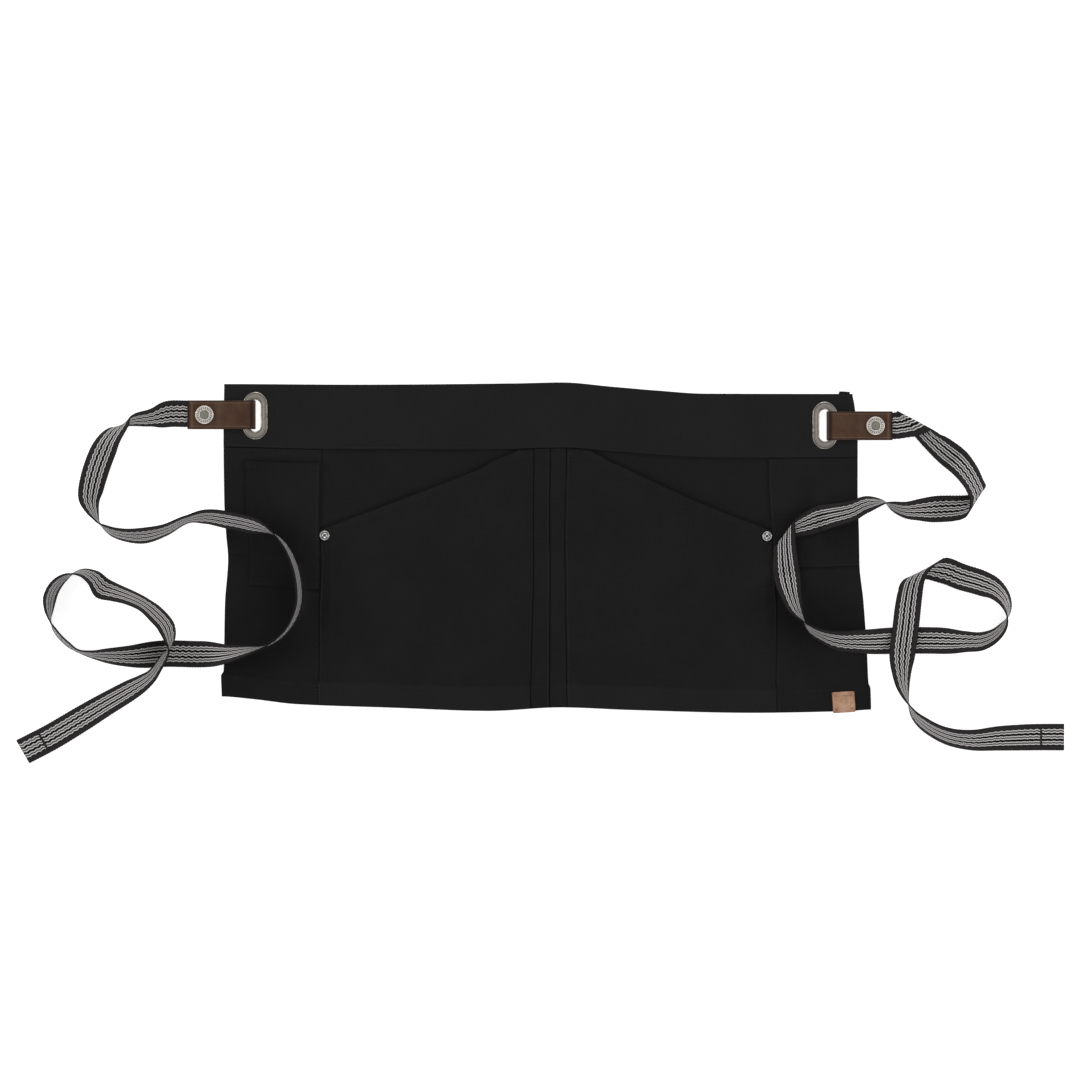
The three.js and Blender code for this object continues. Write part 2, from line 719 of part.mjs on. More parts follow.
// Routes of the ties as they lie, from inside the tab outwards: the middle of the webbing in thousandths
// of laySize, of which only the steps from the first row count, the way from its left edge to its right
// edge seen from above, how far that way tips up out of the table, and what the lower edge rests on.
// At a crease the line across the webbing is slanted, and longer for it.
const leftRoute = [
  { x: -315, y: 126, across: 90, tilt: 0, on: 'tab' },
  { x: -345, y: 127, across: 90, tilt: 0, on: 'tab' },
  { x: -359, y: 127, across: 90, tilt: 5, on: 'floor' },
  { x: -378, y: 123, across: 90, tilt: 52, on: 'floor' },
  { x: -399, y: 119.5, across: 52, tilt: 62, on: 'floor' },
  { x: -407, y: 114, across: 4, tilt: 46, on: 'floor' },
  { x: -417, y: 102, across: -15, tilt: 31, on: 'floor' },
  { x: -423, y: 90, across: -13, tilt: 8, on: 'floor' },
  { x: -430.5, y: 69, across: -9, tilt: -8, on: 'floor' },
  { x: -434, y: 54, across: 0, tilt: -20, on: 'floor' },
  { x: -435, y: 43, across: 6, tilt: -45, on: 'floor' },
  { x: -432, y: 33, across: 6, tilt: -66, on: 'floor' },
  { x: -427.5, y: 24, across: -35, tilt: -80, on: 'floor' },
  { x: -416, y: 15.5, across: -80, tilt: -70, on: 'floor' },
  { x: -402, y: 11.5, across: -88, tilt: -63, on: 'floor' },
  { x: -383, y: 11, across: -88, tilt: -55, on: 'floor' },
  { x: -364, y: 16, across: -70, tilt: -65, on: 'floor' },
  { x: -342, y: 26.5, across: -65, tilt: -74, on: 'floor' },
  { x: -326, y: 29, across: -93, tilt: -60, on: 'panel' },
  { x: -304, y: 26, across: -100, tilt: -51, on: 'facing' },
  { x: -283, y: 21.5, across: -103, tilt: -52, on: 'pocket' },
  { x: -270, y: 17.5, across: -115, tilt: -68, on: 'pocket' },
  { x: -261.5, y: 13.5, across: -127, tilt: -86, on: 'pocket' },
  { x: -252.5, y: 5.5, across: -143, tilt: -97, on: 'pocket' },
  { x: -242, y: -12.5, across: -158, tilt: -102, on: 'pocket' },
  { x: -236.5, y: -33.5, across: -175, tilt: -103, on: 'pocket' },
  { x: -236.5, y: -56, across: -188, tilt: -102, on: 'pocket' },
  { x: -244.5, y: -75, across: -215, tilt: -98, on: 'facing' },
  { x: -256, y: -87.5, across: -230, tilt: -94, on: 'facing' },
  { x: -267.5, y: -94.5, across: -245, tilt: -90, on: 'facing' },
  { x: -285, y: -98.5, across: -257, tilt: -70, on: 'facing' },
  { x: -304, y: -101.5, across: -263, tilt: -47, on: 'facing' },
  { x: -330.5, y: -102, across: -270, tilt: -8, on: 'floor' },
  { x: -364, y: -101.5, across: -270, tilt: 0, on: 'floor' },
  { x: -397, y: -104, across: -267, tilt: 37, on: 'floor' },
  { x: -418, y: -103.5, across: -272, tilt: 57, on: 'floor' },
  { x: -433.5, y: -102, across: -277, tilt: 75, on: 'floor' },
  { x: -446.5, y: -98.5, across: -290, tilt: 84, on: 'floor' },
  { x: -456, y: -92, across: -310, tilt: 80, on: 'floor' },
  { x: -466.5, y: -81, across: -328, tilt: 81, on: 'floor' },
  { x: -472.5, y: -69.5, across: -345, tilt: 91, on: 'floor' },
  { x: -473.5, y: -59, across: -357, tilt: 108, on: 'floor' },
  { x: -472.5, y: -47.5, across: -373, tilt: 117, on: 'floor' },
  { x: -467.5, y: -37, across: -400, tilt: 114, on: 'floor' },
  { x: -458, y: -28.5, across: -425, tilt: 103, on: 'floor' },
  { x: -451.5, y: -25.5, across: -440, tilt: 90, on: 'floor' },
  { x: -443, y: -24.5, across: -457, tilt: 75, on: 'floor' },
  { x: -432.5, y: -28.5, across: -485, tilt: 57, on: 'floor' },
  { x: -423, y: -39, across: -482, tilt: 36, on: 'floor' },
  { x: -411.5, y: -43, across: -470, tilt: 48, on: 'floor' },
  { x: -399.5, y: -47, across: -470, tilt: 56, on: 'floor' },
  { x: -384.5, y: -54, across: -482, tilt: 59, on: 'floor' },
  { x: -371, y: -65, across: -491, tilt: 52, on: 'floor' },
  { x: -362.5, y: -75, across: -512, tilt: 52, on: 'tie' },
  { x: -359, y: -86, across: -530, tilt: 64, on: 'tie' },
  { x: -359.5, y: -97, across: -547, tilt: 90, on: 'tie' },
  { x: -364.5, y: -106, across: -565, tilt: 107, on: 'tie' },
  { x: -370, y: -114.5, across: -575, tilt: 110, on: 'tie' },
  { x: -375.5, y: -122, across: -582, tilt: 116, on: 'floor' },
  { x: -383, y: -128, across: -590, tilt: 126, on: 'floor' },
  { x: -397, y: -136.5, across: -597, tilt: 140, on: 'floor' },
  { x: -419.5, y: -149.5, across: -599, tilt: 150, on: 'floor' },
  { x: -443.5, y: -164, across: -600, tilt: 163, on: 'floor' },
  { x: -472, y: -181, across: -600, tilt: 171, on: 'floor' },
  { x: -499, y: -195, across: -600, tilt: 180, on: 'floor' },
];
const rightRoute = [
  { x: 302, y: 115.5, across: -90, tilt: 0, on: 'tab' },
  { x: 331, y: 115.5, across: -90, tilt: 0, on: 'tab' },
  { x: 337, y: 116, across: -73, tilt: 12, slant: 10, on: 'floor' },
  { x: 343.5, y: 117.5, across: -50, tilt: 17, slant: 36, on: 'floor' },
  { x: 349.5, y: 120, across: -30, tilt: 27, slant: 50, on: 'floor' },
  { x: 355, y: 116.5, across: -26, tilt: 30, slant: 48, on: 'floor' },
  { x: 360, y: 109, across: -9, tilt: 33, slant: 38, on: 'floor' },
  { x: 368.5, y: 101, across: 15, tilt: 30, slant: 24, on: 'floor' },
  { x: 377, y: 93.5, across: 31, tilt: 20, slant: 10, on: 'floor' },
  { x: 394.5, y: 78, across: 40, tilt: -22, on: 'floor' },
  { x: 402, y: 68, across: 32, tilt: -34, on: 'floor' },
  { x: 407, y: 59, across: 30, tilt: -42, slant: 5, on: 'floor' },
  { x: 410, y: 51.5, across: 42, tilt: -42, slant: 20, on: 'floor' },
  { x: 409, y: 46, across: 55, tilt: -38, slant: 34, on: 'floor' },
  { x: 405.5, y: 41.5, across: 61, tilt: -31, slant: 36, on: 'floor' },
  { x: 400, y: 38.5, across: 64, tilt: -24, slant: 28, on: 'floor' },
  { x: 391, y: 37, across: 72, tilt: -15, slant: 14, on: 'floor' },
  { x: 378, y: 36.5, across: 84, tilt: -4, slant: 4, on: 'floor' },
  { x: 355.5, y: 35.5, across: 92, tilt: 36, on: 'floor' },
  { x: 340, y: 35.5, across: 86, tilt: 56, on: 'floor' },
  { x: 329.5, y: 39, across: 72, tilt: 72, on: 'floor' },
  { x: 323, y: 42, across: 66, tilt: 90, on: 'floor' },
  { x: 315.5, y: 42, across: 80, tilt: 108, on: 'panel' },
  { x: 304, y: 40.5, across: 98, tilt: 127, on: 'facing' },
  { x: 290.5, y: 34.5, across: 104, tilt: 137, on: 'facing' },
  { x: 269.5, y: 29.5, across: 100, tilt: 154, on: 'facing' },
  { x: 256, y: 26, across: 97, tilt: 184, on: 'facing' },
  { x: 247.5, y: 23, across: 85, tilt: 198, slant: 5, on: 'facing' },
  { x: 236.5, y: 19, across: 69, tilt: 212, slant: 15, on: 'facing' },
  { x: 227, y: 12.5, across: 52, tilt: 208, slant: 36, on: 'facing' },
  { x: 226, y: 7, across: 41, tilt: 205, slant: 32, on: 'facing' },
  { x: 226, y: -1, across: 31, tilt: 205, slant: 20, on: 'facing' },
  { x: 226.5, y: -10, across: 19, tilt: 200, slant: 8, on: 'facing' },
  { x: 228, y: -24, across: 9, tilt: 184, on: 'facing' },
  { x: 232, y: -45, across: 15, tilt: 142, on: 'facing' },
  { x: 236, y: -57, across: 28, tilt: 125, on: 'facing' },
  { x: 244, y: -70, across: 43, tilt: 94, on: 'facing' },
  { x: 252.5, y: -79, across: 50, tilt: 72, on: 'facing' },
  { x: 262, y: -84, across: 58, tilt: 63, on: 'facing' },
  { x: 275.5, y: -88.5, across: 68, tilt: 45, on: 'facing' },
  { x: 298, y: -90, across: 88, tilt: 30, on: 'facing' },
  { x: 336, y: -89, across: 90, tilt: 4, on: 'floor' },
  { x: 369.5, y: -89, across: 90, tilt: -4, on: 'floor' },
  { x: 398, y: -90, across: 92, tilt: -40, on: 'floor' },
  { x: 414.5, y: -89.5, across: 97, tilt: -50, on: 'floor' },
  { x: 426.5, y: -84, across: 108, tilt: -62, on: 'floor' },
  { x: 433.5, y: -77, across: 122, tilt: -72, on: 'floor' },
  { x: 437.5, y: -69, across: 160, tilt: -88, on: 'floor' },
  { x: 438.5, y: -59, across: 200, tilt: -107, on: 'floor' },
  { x: 436, y: -51, across: 220, tilt: -120, on: 'floor' },
  { x: 427, y: -40.5, across: 237, tilt: -139, on: 'floor' },
  { x: 414, y: -34.5, across: 249, tilt: -160, on: 'floor' },
  { x: 392, y: -27.5, across: 254, tilt: -172, on: 'floor' },
  { x: 382.5, y: -23.5, across: 254, tilt: -182, on: 'floor' },
  { x: 372, y: -21, across: 236, tilt: -195, slant: 12, on: 'floor' },
  { x: 363, y: -20.5, across: 214, tilt: -203, slant: 36, on: 'floor' },
  { x: 354, y: -24.5, across: 206, tilt: -205, slant: 42, on: 'floor' },
  { x: 349, y: -31, across: 205, tilt: -202, slant: 38, on: 'tie' },
  { x: 346.5, y: -38.5, across: 198, tilt: -197, slant: 20, on: 'tie' },
  { x: 344.5, y: -50.5, across: 187, tilt: -190, slant: 5, on: 'tie' },
  { x: 341.5, y: -76, across: 179, tilt: -180, on: 'tippedTie' },
  { x: 338.5, y: -98.5, across: 178, tilt: -170, on: 'tippedTie' },
  { x: 337.5, y: -117.5, across: 185, tilt: -139, on: 'tie' },
  { x: 339, y: -134, across: 192, tilt: -117, on: 'floor' },
  { x: 344.5, y: -150.5, across: 207, tilt: -90, on: 'floor' },
  { x: 350, y: -160, across: 219, tilt: -75, on: 'floor' },
  { x: 358.5, y: -168, across: 230, tilt: -64, on: 'floor' },
  { x: 370.5, y: -175.5, across: 238, tilt: -58, on: 'floor' },
  { x: 385, y: -181, across: 248, tilt: -50, on: 'floor' },
  { x: 401, y: -183.5, across: 264, tilt: -43, on: 'floor' },
  { x: 431.5, y: -182, across: 270, tilt: -24, on: 'floor' },
  { x: 465, y: -181, across: 270, tilt: -8, on: 'floor' },
  { x: 492.5, y: -181, across: 270, tilt: 0, on: 'floor' },
];

// Smooth curve through one column of a route. A gentle one never goes past its rows' values.
function smoothColumn(values, knots, gentle) {
  const slope = values.map((value, i) => {
    if (i === 0 || i === values.length - 1) return 0;
    const before = knots[i] - knots[i - 1];
    const after = knots[i + 1] - knots[i];
    const left = (value - values[i - 1]) / before;
    const right = (values[i + 1] - value) / after;
    if (gentle) return left * right > 0 ? (2 * left * right) / (left + right) : 0;
    return (left * after + right * before) / (before + after);
  });
  if (!gentle) {
    const last = values.length - 1;
    slope[0] = (values[1] - values[0]) / (knots[1] - knots[0]);
    slope[last] = (values[last] - values[last - 1]) / (knots[last] - knots[last - 1]);
  }
  return (i, t) => {
    const step = knots[i + 1] - knots[i];
    const [t2, t3] = [t * t, t * t * t];
    return (
      (2 * t3 - 3 * t2 + 1) * values[i] +
      (t3 - 2 * t2 + t) * step * slope[i] +
      (3 * t2 - 2 * t3) * values[i + 1] +
      (t3 - t2) * step * slope[i + 1]
    );
  };
}

const stepLength = 11;
const stepTurn = 18;

function webbingAlong(route, start) {
  const radians = Math.PI / 180;
  const unit = laySize / 1000;
  const knots = [0];
  for (let i = 1; i < route.length; i += 1) {
    knots.push(knots[i - 1] + unit * Math.hypot(route[i].x - route[i - 1].x, route[i].y - route[i - 1].y));
  }
  const column = (read, gentle) => smoothColumn(route.map(read), knots, gentle);
  const x = column((row) => start.x + unit * (row.x - route[0].x), false);
  const y = column((row) => start.y + unit * (row.y - route[0].y), false);
  const across = column((row) => row.across * radians, true);
  const tilt = column((row) => row.tilt * radians, true);
  const width = column((row) => tieWidth / Math.cos((row.slant ?? 0) * radians), true);
  const rest = column((row) => restHeights[row.on], true);
  const centres = [];
  const edges = [];
  for (let i = 0; i < route.length - 1; i += 1) {
    const turned = Math.hypot(route[i + 1].across - route[i].across, route[i + 1].tilt - route[i].tilt);
    const far = knots[i + 1] - knots[i];
    const steps = Math.max(1, Math.round(far / (unit * stepLength)), Math.round(turned / stepTurn));
    const last = i === route.length - 2 ? steps : steps - 1;
    for (let k = 0; k <= last; k += 1) {
      const t = k / steps;
      const [turn, tip] = [across(i, t), tilt(i, t)];
      const wide = width(i, t);
      const raised = (wide / 2) * Math.abs(Math.sin(tip)) + (tieThickness / 2) * Math.abs(Math.cos(tip));
      centres.push(new THREE.Vector3(x(i, t), y(i, t), rest(i, t) + raised));
      edges.push(
        new THREE.Vector3(
          wide * Math.cos(turn) * Math.cos(tip),
          wide * Math.sin(turn) * Math.cos(tip),
          wide * Math.sin(tip),
        ),
      );
    }
  }
  const points = centres.flatMap((centre, i) => {
    const along = centres[Math.min(i + 1, centres.length - 1)].clone().sub(centres[Math.max(i - 1, 0)]);
    const face = edges[i].clone().cross(along).normalize();
    return [
      { over: -0.5, out: -0.5 },
      { over: 0.5, out: -0.5 },
      { over: 0.5, out: 0.5 },
      { over: -0.5, out: 0.5 },
    ].map(({ over, out }) =>
      centre
        .clone()
        .addScaledVector(edges[i], over)
        .addScaledVector(face, out * tieThickness)
        .toArray(),
    );
  });
  const triangles = [[0, 1, 2], [0, 2, 3]];
  for (let i = 0; i < centres.length - 1; i += 1) {
    for (let j = 0; j < 4; j += 1) {
      const a = i * 4 + j;
      const b = i * 4 + ((j + 1) % 4);
      if (j < 2) triangles.push([a, a + 4, b + 4], [a, b + 4, b]);
      else triangles.push([a, a + 4, b], [a + 4, b + 4, b]);
    }
  }
  const end = (centres.length - 1) * 4;
  triangles.push([end, end + 2, end + 1], [end, end + 3, end + 2]);
  return closedMesh(points, triangles);
}

function makeTies() {
  const routes = { left: leftRoute, right: rightRoute };
  for (const part of sides) {
    const hole = roundHole(snapPostDiameter + 2 * gap, snapSpot(part));
    const strap = webbingAlong(routes[part.name], tabSpot(part, tieHidden));
    addPiece('tie_' + part.name, cutHoles(strap, [hole]), webbing);
  }
}

makePanel();
makeWaistband();
makeSideFacings();
makePencilPocket();
makeBigPockets();
makeTucks();
makeEyelets();
makeTabs();
makeSnaps();
makePocketRivets();
makeLabel();
makeTies();

export default apron;
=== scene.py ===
import json
import math

import bpy
import numpy as np
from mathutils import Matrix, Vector
from mathutils.bvhtree import BVHTree

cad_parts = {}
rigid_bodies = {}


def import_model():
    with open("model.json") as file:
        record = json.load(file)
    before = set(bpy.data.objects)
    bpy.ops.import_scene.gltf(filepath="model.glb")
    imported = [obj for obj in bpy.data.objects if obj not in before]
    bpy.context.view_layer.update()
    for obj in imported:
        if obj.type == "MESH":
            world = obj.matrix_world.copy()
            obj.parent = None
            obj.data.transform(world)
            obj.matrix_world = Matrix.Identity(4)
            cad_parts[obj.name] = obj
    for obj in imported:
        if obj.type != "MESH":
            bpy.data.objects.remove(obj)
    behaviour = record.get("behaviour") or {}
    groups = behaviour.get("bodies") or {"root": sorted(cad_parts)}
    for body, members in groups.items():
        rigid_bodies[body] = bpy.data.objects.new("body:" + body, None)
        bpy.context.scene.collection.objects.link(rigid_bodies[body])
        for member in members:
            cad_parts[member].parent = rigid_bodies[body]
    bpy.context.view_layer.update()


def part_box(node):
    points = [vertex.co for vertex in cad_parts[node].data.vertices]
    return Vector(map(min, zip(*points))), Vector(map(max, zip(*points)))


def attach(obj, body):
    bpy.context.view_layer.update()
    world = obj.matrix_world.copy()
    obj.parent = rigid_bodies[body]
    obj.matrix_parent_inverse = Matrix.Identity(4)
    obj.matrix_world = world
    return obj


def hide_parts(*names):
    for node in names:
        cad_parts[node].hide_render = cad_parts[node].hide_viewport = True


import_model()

mm = 0.001


# Curves through tables

def smoothColumn(knots, values, at, gentle=True):
    # Hermite curve through the rows. A gentle one never goes past their values.
    knots = np.asarray(knots, float)
    values = np.asarray(values, float)
    steps = np.diff(knots)
    rates = np.diff(values) / steps
    slopes = np.zeros(len(values))
    before, after = rates[:-1], rates[1:]
    if gentle:
        total = before + after
        safe = np.where(np.abs(total) < 1e-12, 1, total)
        slopes[1:-1] = np.where(before * after > 0, 2 * before * after / safe, 0)
    else:
        slopes[1:-1] = (before * steps[1:] + after * steps[:-1]) / (steps[1:] + steps[:-1])
        slopes[0], slopes[-1] = rates[0], rates[-1]
    at = np.clip(at, knots[0], knots[-1])
    i = np.clip(np.searchsorted(knots, at, side="right") - 1, 0, len(steps) - 1)
    t = (at - knots[i]) / steps[i]
    return (
        (2 * t**3 - 3 * t**2 + 1) * values[i]
        + (t**3 - 2 * t**2 + t) * steps[i] * slopes[i]
        + (3 * t**2 - 2 * t**3) * values[i + 1]
        + (t**3 - t**2) * steps[i] * slopes[i + 1]
    )


def smoothStep(x):
    x = np.clip(x, 0, 1)
    return x * x * (3 - 2 * x)


def mix(a, b, t):
    return a + (b - a) * t


# The apron's outline and layers, in millimetres

cloth = {
    "width": 610,
    "height": 305,
    "thickness": 1.0,
    "gap": 0.3,
    "hemHeight": 21,
    "hemSlope": 3,
    "hemRise": 1.0,
    "waistbandHeight": 61.2,
    "waistbandThickness": 2.9,
    "seamGap": 0.8,
    "cornerLift": 2.7,
    "mouthHem": 9,
    "pencilHeight": 121,
    "pencilDrop": 74,
    "pencilInset": 20.5,
    "facingHeight": 105,
    "rivetClear": 1.2,
}

waistEdge = [
    {"across": -0.504, "up": 0.509},
    {"across": -0.3, "up": 0.507},
    {"across": -0.05, "up": 0.511},
    {"across": 0.023, "up": 0.514},
    {"across": 0.1, "up": 0.501},
    {"across": 0.17, "up": 0.489},
    {"across": 0.248, "up": 0.479},
    {"across": 0.477, "up": 0.478},
]
hemEdge = [
    {"across": -0.508, "up": -0.467},
    {"across": -0.46, "up": -0.475},
    {"across": -0.39, "up": -0.491},
    {"across": -0.24, "up": -0.502},
    {"across": -0.09, "up": -0.512},
    {"across": 0.02, "up": -0.501},
    {"across": 0.13, "up": -0.509},
    {"across": 0.32, "up": -0.518},
    {"across": 0.47, "up": -0.5125},
    {"across": 0.506, "up": -0.508},
]
leftEdge = [
    {"up": -0.467, "across": -0.508},
    {"up": -0.401, "across": -0.509},
    {"up": -0.388, "across": -0.505},
    {"up": -0.18, "across": -0.503},
    {"up": -0.034, "across": -0.498},
    {"up": 0.04, "across": -0.501},
    {"up": 0.15, "across": -0.504},
    {"up": 0.35, "across": -0.505},
    {"up": 0.509, "across": -0.504},
]
rightEdge = [
    {"up": -0.508, "across": 0.506},
    {"up": -0.44, "across": 0.505},
    {"up": -0.425, "across": 0.502},
    {"up": -0.34, "across": 0.5},
    {"up": -0.165, "across": 0.494},
    {"up": -0.056, "across": 0.488},
    {"up": 0.05, "across": 0.487},
    {"up": 0.18, "across": 0.485},
    {"up": 0.33, "across": 0.485},
    {"up": 0.443, "across": 0.48},
    {"up": 0.478, "across": 0.477},
]
seams = {
    "left": {"waist": 0.154, "middle": 0.147, "hem": 0.148},
    "tuckLeft": {"waist": 0.4895, "middle": 0.483, "hem": 0.476},
    "tuckMiddle": {"waist": 0.515, "middle": 0.509, "hem": 0.505},
    "tuckRight": {"waist": 0.541, "middle": 0.533, "hem": 0.532},
    "right": {"waist": 0.859, "middle": 0.864, "hem": 0.855},
}
leftMouth = [
    {"across": 0, "up": 0.69},
    {"across": 0.75, "up": 0.932},
    {"across": 0.81, "up": 0.962},
    {"across": 0.86, "up": 0.978},
    {"across": 0.93, "up": 1},
    {"across": 1, "up": 1},
]
rightMouth = [
    {"across": 0, "up": 1},
    {"across": 0.11, "up": 1},
    {"across": 0.165, "up": 0.985},
    {"across": 0.215, "up": 0.964},
    {"across": 0.26, "up": 0.953},
    {"across": 1, "up": 0.72},
]

high = cloth["height"]
wide = cloth["width"]
hemUp = cloth["hemHeight"] / high
slopeUp = cloth["hemSlope"] / high
waistUp = 1 - cloth["waistbandHeight"] / high
seamUp = waistUp - cloth["seamGap"] / high
facingUp = waistUp - cloth["facingHeight"] / high
pencilTopUp = 1 - cloth["pencilDrop"] / high
pencilLowUp = pencilTopUp - cloth["pencilHeight"] / high


def column(rows, key):
    return [row[key] for row in rows]


def edgePoint(rows, along, other, share):
    low, top = rows[0][along], rows[-1][along]
    at = mix(low, top, share)
    value = smoothColumn(column(rows, along), column(rows, other), at)
    return (at, value) if along == "across" else (value, at)


def onPanel(across, up):
    # a place on the panel, across 0 to 1 from the left edge, up 0 to 1 from the hem to the waist
    across, up = np.broadcast_arrays(np.asarray(across, float), np.asarray(up, float))
    low = edgePoint(hemEdge, "across", "up", across)
    top = edgePoint(waistEdge, "across", "up", across)
    left = edgePoint(leftEdge, "up", "across", up)
    right = edgePoint(rightEdge, "up", "across", up)
    place = []
    for k, key in enumerate(("across", "up")):
        hemLine = mix(hemEdge[0][key], hemEdge[-1][key], across)
        waistLine = mix(waistEdge[0][key], waistEdge[-1][key], across)
        place.append(mix(low[k], top[k], up) + mix(left[k], right[k], across) - mix(hemLine, waistLine, up))
    return place[0] * wide, place[1] * high


def seamAt(name, up, offset=0):
    row = seams[name]
    share = smoothColumn([0, waistUp / 2, waistUp], [row["hem"], row["middle"], row["waist"]], up)
    return share + offset / wide


liftLook = {"side": 0.16, "sideSoft": 0.07, "from": 0.68, "soft": 0.12}


def liftAt(across, up):
    # the tabs' back leaves and the washers hold the top corners off the table
    fromSide = np.minimum(across, 1 - across)
    beside = smoothStep((liftLook["side"] - fromSide) / liftLook["sideSoft"])
    return cloth["cornerLift"] * beside * smoothStep((up - liftLook["from"]) / liftLook["soft"])


def hemRiseAt(up):
    return cloth["hemRise"] * smoothStep(1 - (up - hemUp) / slopeUp)


# Where the hardware sits comes from the CAD nodes

def middleOf(node):
    low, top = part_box(node)
    return [(low[k] + top[k]) / 2 / mm for k in range(3)]


eyeletHole = {"width": 10.9, "height": 30.8, "cut": 7.4}
eyeletStraight = (eyeletHole["height"] - eyeletHole["width"]) / 2
eyeletSpots = {side: middleOf("eyelet_" + side) for side in ("left", "right")}
bandHoles = [
    {"x": spot[0], "y": spot[1], "straight": eyeletStraight, "radius": eyeletHole["cut"]}
    for spot in eyeletSpots.values()
]
labelSpot = middleOf("label")
calmSpots = list(eyeletSpots.values()) + [labelSpot]
calmLook = {"radius": 26, "soft": 30}


# Soft unevenness that all layers share, and never goes below the table
wrinkles = [
    {"x": -262, "y": 88, "angle": 25, "length": 34, "width": 7, "height": 0.9},
    {"x": -120, "y": 118, "angle": -8, "length": 80, "width": 12, "height": 0.5},
    {"x": 110, "y": 112, "angle": 12, "length": 90, "width": 13, "height": 0.6},
    {"x": 215, "y": 96, "angle": -20, "length": 50, "width": 9, "height": 0.6},
    {"x": 0, "y": 104, "angle": 84, "length": 26, "width": 8, "height": 0.7},
    {"x": -95, "y": -20, "angle": 62, "length": 110, "width": 20, "height": 0.6},
    {"x": -160, "y": -90, "angle": 30, "length": 90, "width": 18, "height": 0.5},
    {"x": 100, "y": -50, "angle": 115, "length": 120, "width": 22, "height": 0.7},
    {"x": 175, "y": -100, "angle": 150, "length": 80, "width": 17, "height": 0.5},
    {"x": 262, "y": -60, "angle": 80, "length": 90, "width": 12, "height": 0.7},
    {"x": -272, "y": -90, "angle": 96, "length": 70, "width": 13, "height": 0.6},
]


def calmNear(x, y):
    # the cloth stays flat round the eyelets and the label
    calm = 1
    for spot in calmSpots:
        away = np.hypot(x - spot[0], y - spot[1]) - calmLook["radius"]
        calm = calm * smoothStep(away / calmLook["soft"])
    return calm


def lieOfCloth(x, y):
    total = 0.22 * (1 + np.sin(x / 31 + 1.3 * np.sin(y / 47)) * np.sin(y / 38 + 1.1 * np.sin(x / 53 + 2)))
    total = total + 0.10 * (1 + np.sin(x / 11.3 + 2 * np.sin(y / 19)) * np.sin(y / 13.7 + 1.7))
    for row in wrinkles:
        turn = math.radians(row["angle"])
        along = (x - row["x"]) * math.cos(turn) + (y - row["y"]) * math.sin(turn)
        off = (y - row["y"]) * math.cos(turn) - (x - row["x"]) * math.sin(turn)
        off = off + 0.12 * row["length"] * np.sin(along / row["length"] * 2.1)
        total = total + row["height"] * np.exp(-((along / row["length"]) ** 2) - (off / row["width"]) ** 2)
    return total * calmNear(x, y)


def seamPucker(distance, along, seed, depth=0.22, reach=4.5):
    # stitches pull the cloth down and leave it wavy beside them
    wave = np.sin(along / 2.3 + seed) * 0.5 + np.sin(along / 3.9 + 2.7 * seed) * 0.7
    beside = np.exp(-((np.abs(distance) - 2.2) / reach * 1.6) ** 2)
    return depth * wave * beside - 0.32 * np.exp(-((distance / 0.9) ** 2))


# Materials

class Signal:
    # a socket's value, with the arithmetic that the finishes are written in
    def __init__(self, tree, socket):
        self.tree = tree
        self.socket = socket

    def combine(self, operation, *others):
        made = self.tree.nodes.new("ShaderNodeMath")
        made.operation = operation
        for slot, value in enumerate((self,) + others):
            if isinstance(value, Signal):
                self.tree.links.new(value.socket, made.inputs[slot])
            else:
                made.inputs[slot].default_value = value
        return Signal(self.tree, made.outputs[0])

    def __add__(self, other):
        return self.combine("ADD", other)

    def __radd__(self, other):
        return self.combine("ADD", other)

    def __mul__(self, other):
        return self.combine("MULTIPLY", other)

    def __rmul__(self, other):
        return self.combine("MULTIPLY", other)

    def __sub__(self, other):
        return self.combine("SUBTRACT", other)

    def __rsub__(self, other):
        return self.combine("MULTIPLY", -1).combine("ADD", other)

    def __truediv__(self, other):
        return self.combine("DIVIDE", other)

    def __gt__(self, other):
        return self.combine("GREATER_THAN", other)

    def __lt__(self, other):
        return self.combine("LESS_THAN", other)

    def __abs__(self):
        return self.combine("ABSOLUTE")

    def __pow__(self, other):
        return self.combine("POWER", other)

    def sine(self):
        return self.combine("SINE")

    def ramp(self, low, high):
        # 0 at low, 1 at high, smooth between
        made = self.tree.nodes.new("ShaderNodeMapRange")
        made.interpolation_type = "SMOOTHSTEP"
        self.tree.links.new(self.socket, made.inputs["Value"])
        made.inputs["From Min"].default_value = low
        made.inputs["From Max"].default_value = high
        return Signal(self.tree, made.outputs["Result"])


